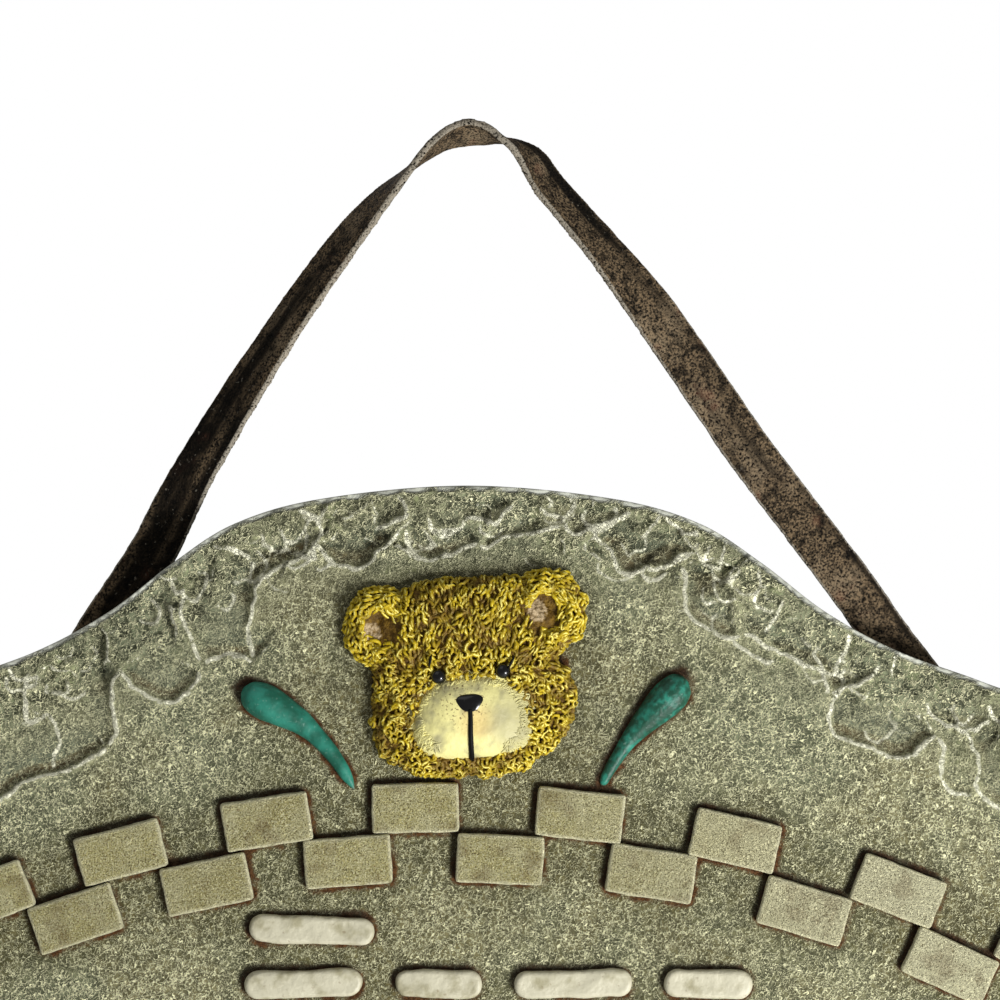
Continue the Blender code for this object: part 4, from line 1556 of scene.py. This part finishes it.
def curl_and_turn(form, direction, chance):
    """The shape of the curl at a spot, and the angle from the way across to which it is turned."""
    x, _, z = direction
    if form is HEAD and z > 0.05 + 0.2 * chance.uniform() and abs(x) < 0.66:
        kind = [wave, wave, arc][chance.integers(3)]
        return kind(chance), math.pi / 2 + chance.normal(0, 0.45) - 0.35 * x
    if form is not HEAD:
        kind = [arc, arc, hook][chance.integers(3)]
        return kind(chance), math.atan2(z, x) + math.pi / 2 + chance.normal(0, 0.6)
    kind = [hook, hook, ring, arc][chance.integers(4)]
    return kind(chance), chance.uniform(0, 2 * math.pi)


# %% Lines to tubes
CURL_SIDES = 5
CURL_RADIUS = (0.26, 0.48)
CURL_LIFT = (-0.10, 0.30)
CLUMP_SIZE = 1.7 * MM
CLUMP_HEIGHT = 0.45
CURL_WOBBLE = 0.06 * MM


def tubes(name, lines, normals, radii, tones):
    """One mesh of closed tubes, each with a radius and a tone. Lines and normals are (tube, point, xyz)."""
    count, points = lines.shape[:2]
    along = unit(np.gradient(lines, axis=1))
    across = unit(np.cross(along, normals))
    up = np.cross(across, along)
    turns = 2 * np.pi * np.arange(CURL_SIDES) / CURL_SIDES + np.pi / 2
    swell = np.clip(np.sin(np.pi * (np.arange(points) + 0.6) / (points + 0.2)), 0, 1) ** 0.45
    reach = radii[:, None, None, None] * swell[None, :, None, None]
    rings = np.cos(turns)[:, None] * across[:, :, None] + np.sin(turns)[:, None] * up[:, :, None]
    places = lines[:, :, None] + reach * rings
    number = np.arange(count * points * CURL_SIDES).reshape(count, points, CURL_SIDES)
    near, far = number[:, :-1], number[:, 1:]
    corners = [near, np.roll(near, -1, axis=2), np.roll(far, -1, axis=2), far]
    sides = np.stack(corners, axis=-1).reshape(-1, 4)
    ends = np.concatenate([number[:, 0, ::-1], number[:, -1]])
    mesh = bpy.data.meshes.new(name)
    mesh.from_pydata(places.reshape(-1, 3), [], sides.tolist() + ends.tolist())
    made = bpy.data.objects.new(name, mesh)
    bpy.context.scene.collection.objects.link(made)
    crest = np.broadcast_to(np.sin(turns), (count, points, CURL_SIDES))
    paint(made, "crest", (0.5 + 0.5 * crest).ravel())
    paint(made, "tone", np.repeat(tones, points * CURL_SIDES))
    face_outwards(made)
    return made


def lay_curls(form, directions, chance):
    """The lines and normals of all the curls of one form."""
    places, normals = skin(form, directions)
    lines = []
    for direction, place, normal in zip(directions, places, normals):
        (along, across, lift), turn = curl_and_turn(form, direction, chance)
        right = unit(np.cross(normal, [0, 0, 1]) + [1e-6, 0, 0])
        right *= -1 if right[0] < 0 else 1
        up = unit(np.cross(normal, right))
        up *= -1 if up[2] < 0 else 1
        u = along * math.cos(turn) - across * math.sin(turn)
        v = along * math.sin(turn) + across * math.cos(turn)
        flat = place + (u[:, None] * right + v[:, None] * up) * MM
        on_skin, on_normals = skin(form, direction_to(form, flat))
        clump = clumps(on_skin)
        height = (lift + chance.uniform(*CURL_LIFT) + CLUMP_HEIGHT * clump) * MM
        wobble = chance.normal(0, CURL_WOBBLE, on_skin.shape)
        lines.append((on_skin + on_normals * height[:, None] + wobble, on_normals, clump))
    return [np.array(parts) for parts in zip(*lines)]


def clumps(places):
    """Where the fur stands in clumps (1) and where it parts (-1)."""
    return np.clip(2.2 * layered(places[..., 0], places[..., 2], CLUMP_SIZE, 91, 2), -1, 1)


laid = [lay_curls(form, directions, chance) for form, directions in spots]
curl_lines, curl_normals, curl_clumps = (np.concatenate(parts) for parts in zip(*laid))
fur = tubes(
    "fur",
    curl_lines,
    curl_normals,
    chance.uniform(*CURL_RADIUS, len(curl_lines)) * MM,
    chance.uniform(0, 1, len(curl_lines)),
)
on_ear = np.repeat([form is not HEAD for form, _ in spots], [len(directions) for _, directions in spots])
paint(fur, "ear", np.repeat(on_ear.astype(float), CURL_POINTS * CURL_SIDES))
paint(fur, "clump", np.repeat(0.5 + 0.5 * curl_clumps.ravel(), CURL_SIDES))
print("fur:", triangles(fur), "triangles")

# %% Fur paint
FUR_DARK = colour(84, 61, 17)
FUR_BROWN = colour(118, 90, 28)
FUR_OLIVE = colour(138, 115, 10)
FUR_GOLD = colour(200, 174, 20)
FUR_PALE = colour(250, 238, 130)
EAR_BEIGE = colour(190, 168, 132)


def ear_patches(points):
    """1 on the bare skin at the inner side of each ear's hollow, else 0."""
    patches = [inside(ear, points, 0.26, ear["patch"]) for ear in (LEFT_EAR, RIGHT_EAR)]
    return (patches[0] | patches[1]).astype(float)


def hide_paint():
    made, tree, shader = new_material("hide_paint", roughness=0.6, specular=0.2)
    place = object_place(tree)
    brownish = between(tree, cloudy(tree, place, 1.0 * MM, 3.0), 0.42, 0.62)
    base = blend(tree, brownish, FUR_DARK, FUR_BROWN)
    beige = between(tree, cloudy(tree, place, 0.8 * MM, 3.0), 0.3, 0.6)
    beige = times(tree, attribute(tree, "patch"), beige)
    base = coat(tree, base, EAR_BEIGE, beige)
    finish_material(tree, shader, base, cloudy(tree, place, 0.6 * MM, 3.0), distance=0.5 * MM)
    return made


def fur_paint():
    made, tree, shader = new_material("fur_paint", roughness=0.55, specular=0.35)
    place = object_place(tree)
    tone, crest, ear, clump = (attribute(tree, name) for name in ("tone", "crest", "ear", "clump"))
    brownish = between(tree, cloudy(tree, place, 3.0 * MM, 3.0), 0.46, 0.60)
    middle = blend(tree, times(tree, brownish, sums(tree, "SUBTRACT", 0.85, ear)), FUR_OLIVE, FUR_BROWN)
    middle = coat(tree, middle, FUR_GOLD, ear, 0.45)
    # Painted light and shade on each curl: dark underneath, gold on top where it faces out, partly dry-brush
    base = blend(tree, between(tree, crest, -0.3, 0.35), FUR_DARK, middle)
    raised = between(tree, sums(tree, "ADD", clump, times(tree, ear, 0.5)), 0.15, 0.85)
    bright = times(tree, sums(tree, "ADD", times(tree, tone, 0.8), 0.2), raised)
    base = coat(tree, base, FUR_GOLD, times(tree, between(tree, crest, 0.40, 0.95), bright))
    # Pale streaks on the tops: partly paint, partly painted highlight
    streaks = between(tree, cloudy(tree, place, 0.9 * MM, 2.0), 0.46, 0.58)
    pale = times(tree, times(tree, between(tree, crest, 0.80, 1.0), streaks), sums(tree, "ADD", raised, 0.2))
    base = coat(tree, base, FUR_PALE, pale, 0.9)
    # Painted shade where the fur parts
    base = coat(tree, base, FUR_DARK, between(tree, clump, 0.30, 0.0), 0.35)
    finish_material(tree, shader, base, cloudy(tree, place, 0.4 * MM, 2.0), distance=0.12 * MM)
    return made


paint(hide, "patch", ear_patches(points_of(hide)))
settle(hide, "plaque", hide_paint())
settle(fur, "plaque", fur_paint())

# %% [markdown]
# ## Muzzle, nose, mouth and eyes
#
# The muzzle is a smooth cream dome, feathered into the fur by fine bristles round its edge. The
# nose and the eyes are gloss black, a thin black line runs from the nose over the dome, and a short
# lash stands over each eye. Tubes do for these lines, because the brush left them a hair proud.

# %% Muzzle, nose and eyes
muzzle = model_form("muzzle", MUZZLE, detail=6)
bumps(muzzle, size=3.0 * MM, strength=0.25 * MM)
nose = model_form("nose", NOSE, detail=4)
eyes = join([model_form("eye", eye, detail=4) for eye in EYES], "eyes")
print("muzzle:", triangles(muzzle), "triangles")

# %% The mouth line
MOUTH = [(0.7, 44.4), (0.8, 46.5), (0.8, 49.0), (0.9, 51.5), (1.0, 54.0), (1.0, 54.7)]
MOUTH_RADIUS = 0.50 * MM
MOUTH_SWELL = (0.9, 1.1)  # of the radius, from the nose down
MOUTH_STEP = 0.4  # in millimetres


def on_form(form, x, drop):
    """The point of the form's front straight over a place of the field."""
    spread = direction_to(form, np.array(at(x, drop, form.get("height", 0.0) * MM)))
    power = form.get("squareness", 2.0)
    across = abs(spread[0] / (1 - form.get("taper", 0.0) * spread[2]))
    height = max(0.0, 1 - across**power - abs(spread[2]) ** power) ** (1 / power)
    return np.array(at(x, drop, (height * form["size"][1] + form.get("height", 0.0)) * MM))


mouth_line = [on_form(MUZZLE, x, drop) for x, drop in evenly(smooth(MOUTH, steps=8), MOUTH_STEP) * MM]
mouth_radii = np.linspace(*MOUTH_SWELL, len(mouth_line)) * MOUTH_RADIUS
mouth = tube_along("mouth", mouth_line, mouth_radii)
print("mouth:", triangles(mouth), "triangles")

# %% Bristles round the muzzle
BRISTLES = 620
BRISTLE_SEED = 6
BRISTLE_LIFT = 0.20 * MM
BRISTLE_ARC = (-0.9, math.pi + 0.9)
BRISTLE_START = (0.76, 0.94)  # of the muzzle's size
BRISTLE_LENGTH = (0.08, 0.17)
BRISTLE_LEAN = 0.10
BRISTLE_RADIUS = (0.10, 0.22)


def towards_eye(lines):
    """A normal for each point of the lines, straight out of the plaque."""
    return np.broadcast_to([0.0, -1.0, 0.0], lines.shape)


def bristle_lines(chance):
    lines = []
    (x, drop), size = MUZZLE["place"], MUZZLE["size"]
    for angle in chance.uniform(*BRISTLE_ARC, BRISTLES):
        start, length = chance.uniform(*BRISTLE_START), chance.uniform(*BRISTLE_LENGTH)
        lean = chance.normal(0, BRISTLE_LEAN)
        line = []
        for share in SHARE:
            turn, reach = angle + lean * share, start + length * share
            spot = (x + size[0] * reach * math.cos(turn)) * MM, (drop - size[2] * reach * math.sin(turn)) * MM
            foremost = min(on_form(HEAD, *spot), on_form(MUZZLE, *spot), key=lambda place: place[1])
            line.append(foremost + [0, -BRISTLE_LIFT * share, 0])
        lines.append(line)
    return np.array(lines)


bristle_chance = np.random.default_rng(BRISTLE_SEED)
lines = bristle_lines(bristle_chance)
radii = bristle_chance.uniform(*BRISTLE_RADIUS, BRISTLES) * MM
bristles = tubes("bristles", lines, towards_eye(lines), radii, bristle_chance.uniform(0, 1, BRISTLES))
print("bristles:", triangles(bristles), "triangles")

# %% Muzzle paint and black gloss
CREAM = colour(234, 226, 152)
CREAM_WARM = colour(226, 190, 116)
CREAM_GREY = colour(176, 170, 124)
FRECKLE = colour(96, 64, 28)
GLOSS_BLACK = colour(6, 6, 6)
GLOSS_GREY = colour(40, 38, 34)
MATT_BLACK = colour(7, 6, 5)
# Places on the muzzle, as (x, drop, height) in millimetres
WARM_SPOT = (2.2, 47, 8)
SHADED_SPOT = (10, 47, 6)
FRECKLED_SPOT = (-0.8, 42.6, 8)


def near_to(tree, place, spot, far, near):
    """1 up to near from a spot of the front, and 0 past far, both in millimetres."""
    sockets = {0: place, 1: at(*(np.array(spot) * MM))}
    away = add(tree, "ShaderNodeVectorMath", sockets, operation="DISTANCE")
    return between(tree, away.outputs["Value"], far * MM, near * MM)


def muzzle_paint():
    made, tree, shader = new_material("muzzle_paint", roughness=0.55)
    place = object_place(tree)
    base = blend(tree, between(tree, cloudy(tree, place, 4 * MM, 2.0), 0.45, 0.7), CREAM, CREAM_GREY)
    base = coat(tree, base, CREAM_WARM, near_to(tree, place, WARM_SPOT, far=5.5, near=1), 0.6)
    # Painted shade: greyer on the muzzle's right side
    base = coat(tree, base, CREAM_GREY, near_to(tree, place, SHADED_SPOT, far=9, near=3), 0.8)
    dots = between(tree, cloudy(tree, place, 0.6 * MM, 2.0), 0.58, 0.66)
    freckles = times(tree, dots, near_to(tree, place, FRECKLED_SPOT, far=7.5, near=2.5))
    base = coat(tree, base, FRECKLE, freckles, 0.85)
    finish_material(tree, shader, base, cloudy(tree, place, 0.9 * MM, 3.0), distance=0.15 * MM)
    return made


def black_gloss():
    made, tree, shader = new_material("black_gloss", roughness=0.2)
    place = object_place(tree)
    base = blend(tree, between(tree, cloudy(tree, place, 0.8 * MM), 0.6, 0.8), GLOSS_BLACK, GLOSS_GREY)
    finish_material(tree, shader, base, cloudy(tree, place, 1.2 * MM), distance=0.05 * MM)
    return made


def black_matt():
    made, _, shader = new_material("black_matt", roughness=0.6, specular=0.15)
    shader.inputs["Base Color"].default_value = MATT_BLACK
    return made


# %% Lashes, and the paint on all of these
LASH_RISE = 1.4 * MM
LASH_RADIUS = 0.28 * MM
LASHES = [((-7.5, 36.1), (-7.0, 33.5)), ((8.2, 36.3), (9.5, 33.8))]


def lash_line(ends):
    """Points a little above the fur, from one place of the field to the other."""
    return [on_form(HEAD, *spot) + [0, -LASH_RISE, 0] for spot in np.linspace(*ends, CURL_POINTS) * MM]


lash_lines = np.array([lash_line(ends) for ends in LASHES])
lash_radii = np.full(len(LASHES), LASH_RADIUS)
lashes = tubes("lashes", lash_lines, towards_eye(lash_lines), lash_radii, np.zeros(len(LASHES)))

finishes = [(muzzle_paint, [muzzle, bristles]), (black_gloss, [nose, eyes]), (black_matt, [mouth, lashes])]
for finish, pieces in finishes:
    finished = finish()
    for piece in pieces:
        settle(piece, "plaque", finished)

# %% [markdown]
# ## The strap
#
# The strap is a flat lace of suede leather. It lies on the wall at its ends, where it is caught in
# the back, and turns on its edge at the crest. A grid is laid along that route: its length follows
# the line and its width leans by the turn. Solidify gives it its thickness, and a remesh gives even
# cells to roughen.

# %% The strap's route: (x, z, turn), in millimetres and degrees
STRAP_ROUTE = [
    (-90.3, -122.7, 0),
    (-82.8, -111.3, 0),
    (-73.8, -97.1, 0),
    (-64.3, -82.7, 2),
    (-60.0, -74.5, 10),
    (-55.4, -65.8, 25),
    (-45.9, -50.2, 35),
    (-39.6, -40.5, 42),
    (-32.6, -30.1, 46),
    (-24.6, -19.2, 52),
    (-17.9, -11.2, 65),
    (-13.0, -6.3, 80),
    (-9.2, -2.4, 92),
    (-4.9, 0.9, 104),
    (-0.3, 2.6, 113),
    (3.8, 2.2, 105),
    (6.4, 1.4, 90),
    (10.0, -0.2, 74),
    (13.4, -3.2, 56),
    (16.7, -8.2, 50),
    (27.2, -20.3, 42),
    (36.6, -32.0, 20),
    (41.9, -39.4, 12),
    (50.0, -51.2, 8),
    (58.4, -63.3, 5),
    (76.6, -87.2, 2),
    (85.7, -100.1, 0),
    (92.9, -109.5, 0),
    (99.2, -118.2, 0),
]
STRAP_STEP = 0.8 * MM
STRAP_COLUMNS = 12
STRAP_CELL = 0.5 * MM
STRAP_WIDENING = 0.3 * MM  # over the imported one, which brings its edges to where they are on the real one
STRAP_THINNING = 0.2 * MM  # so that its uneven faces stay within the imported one
STRAP_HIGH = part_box("strap")[1]


def strap_frames():
    """For each step of the route: the middle, and the unit vectors along, across and through the strap."""
    path = smooth(STRAP_ROUTE, steps=8)
    lengths = np.concatenate([[0], np.cumsum(np.linalg.norm(np.diff(path[:, :2], axis=0), axis=1))]) * MM
    steps = np.linspace(0, lengths[-1], round(lengths[-1] / STRAP_STEP) + 1)
    x, z, turn = (np.interp(steps, lengths, column) for column in path.T)
    turn = np.radians(turn)
    along = unit(np.column_stack([np.gradient(x), np.zeros_like(x), np.gradient(z)]))
    outwards = np.column_stack([-along[:, 2], np.zeros_like(x), along[:, 0]])
    wall = np.array([0, 1, 0])
    across = outwards * np.cos(turn)[:, None] + wall * np.sin(turn)[:, None]
    through = wall * np.cos(turn)[:, None] - outwards * np.sin(turn)[:, None]
    depth = STRAP_GAP + STRAP_THICKNESS / 2 + STRAP_WIDTH / 2 * np.sin(turn)
    middle = np.column_stack([x * MM, -depth, z * MM])
    return steps, middle, along, across, through


steps, middle, along, across, through = strap_frames()
print(f"strap {steps[-1] / MM:.0f} mm long")


# %% Model the strap
def model_strap():
    bpy.ops.mesh.primitive_grid_add(x_subdivisions=len(steps) - 1, y_subdivisions=STRAP_COLUMNS, size=1)
    strap = bpy.context.object
    strap.name = "strap_leather"
    flat = points_of(strap)
    index = np.rint((flat[:, 0] + 0.5) * (len(steps) - 1)).astype(int)
    side = flat[:, 1:2] * (STRAP_WIDTH + STRAP_WIDENING)
    move_points(strap, middle[index] + across[index] * side)
    thick = strap.modifiers.new("thick", "SOLIDIFY")
    thick.thickness = STRAP_THICKNESS - STRAP_THINNING
    thick.offset = 0
    apply_modifiers(strap)
    remesh(strap, STRAP_CELL)
    return strap


def strap_places(strap):
    """For each point: the step it is nearest to, its place across from -1 to 1, and its place through."""
    points = points_of(strap)
    nearest = np.empty(len(points), int)
    at_once = 4000
    for start in range(0, len(points), at_once):
        part = slice(start, start + at_once)
        nearest[part] = ((points[part, None] - middle[None]) ** 2).sum(axis=2).argmin(axis=1)
    offset = points - middle[nearest]
    side = (offset * across[nearest]).sum(axis=1) / (STRAP_WIDTH / 2)
    face = (offset * through[nearest]).sum(axis=1) / (STRAP_THICKNESS / 2)
    return nearest, side, face


def rough_up(strap):
    """Makes the cut edges wander and the faces lie a little uneven, and keeps the masks for the paint."""
    nearest, side, face = strap_places(strap)
    length, width = steps[nearest], side * STRAP_WIDTH / 2
    points = points_of(strap)
    wander = 0.22 * MM * layered(length, np.sign(side) * 0.05, 3 * MM, 71)
    points -= across[nearest] * (np.sign(side) * np.abs(side) ** 4 * np.abs(wander))[:, None]
    lumps = 0.09 * MM * layered(length, width, 1.6 * MM, 75) - 0.05 * MM
    points += through[nearest] * (np.sign(face) * lumps)[:, None]
    points[:, 2] = np.minimum(points[:, 2], STRAP_HIGH[2])
    move_points(strap, points)
    paint(strap, "side", side)
    paint(strap, "face", face)
    paint(strap, "along", length)


strap = model_strap()
rough_up(strap)
print("strap:", triangles(strap), "triangles")

# %% Strap paint
SUEDE = colour(62, 53, 41)
SUEDE_TAN = colour(124, 105, 80)
SUEDE_DARK = colour(9, 8, 6)
SUEDE_EDGE = colour(164, 156, 140)
SUEDE_PALE = colour(150, 132, 106)
SUEDE_RUST = colour(112, 72, 54)
PATCH_WIDTH, PATCH_STRETCH = 5 * MM, 0.11  # the dark patches are long along the strap and narrow across it


def strap_leather():
    made, tree, shader = new_material("strap_leather", roughness=0.8, specular=0.08)
    place = object_place(tree)
    side, length = attribute(tree, "side"), attribute(tree, "along")
    speckle, blotches = cloudy(tree, place, 0.45 * MM, 5.0), cloudy(tree, place, 2.2 * MM, 5.0)
    base = blend(tree, between(tree, speckle, 0.44, 0.64), SUEDE, SUEDE_TAN)
    base = coat(tree, base, SUEDE_DARK, between(tree, speckle, 0.46, 0.34))
    base = coat(tree, base, SUEDE_DARK, between(tree, blotches, 0.50, 0.38), 0.7)
    pale = between(tree, cloudy(tree, place, 12 * MM, 4.0), 0.52, 0.66)
    pale = times(tree, pale, between(tree, speckle, 0.36, 0.56))
    base = coat(tree, base, SUEDE_PALE, pale, 0.5)
    rusty = between(tree, cloudy(tree, place, 6 * MM, 4.0), 0.60, 0.72)
    base = coat(tree, base, SUEDE_RUST, rusty, 0.35)
    left_leg = between(tree, length, 0.15, 0.02)
    outer = between(tree, side, -0.2, 0.8)
    left_bias = sums(tree, "SUBTRACT", 0.17, times(tree, outer, 0.12))
    bias = mixed(tree, left_leg, sums(tree, "SUBTRACT", times(tree, outer, 0.12), 0.04), left_bias)
    sockets = {"X": times(tree, side, PATCH_WIDTH), "Y": times(tree, length, PATCH_STRETCH)}
    laid_flat = add(tree, "ShaderNodeCombineXYZ", sockets).outputs[0]
    patches = sums(tree, "ADD", cloudy(tree, laid_flat, 7 * MM, 6.0), times(tree, speckle, 0.20))
    worn = between(tree, sums(tree, "ADD", patches, bias), 0.62, 0.72)
    base = coat(tree, base, SUEDE_DARK, worn, 0.92)
    scuffs = times(tree, between(tree, cloudy(tree, place, 1.0 * MM, 5.0), 0.64, 0.70), worn)
    base = coat(tree, base, SUEDE_EDGE, scuffs, 0.35)
    cut = times(tree, between(tree, sums(tree, "ABSOLUTE", side, 0.0), 0.92, 0.98), 0.8)
    base = coat(tree, base, SUEDE_EDGE, times(tree, cut, between(tree, speckle, 0.34, 0.52)))
    finish_material(tree, shader, base, speckle, distance=0.4 * MM)
    return made


settle(strap, "strap", strap_leather())

# %% [markdown]
# ## Floor and the end
#
# The plaque hangs, so the plain floor lies well below it and only shows from other sides.

# %% Floor
FLOOR_SIZE = 3.0
FLOOR_PLACE = (0, 0, -0.6)
bpy.ops.mesh.primitive_plane_add(size=FLOOR_SIZE, location=FLOOR_PLACE)
floor = bpy.context.object
floor.name = "floor"
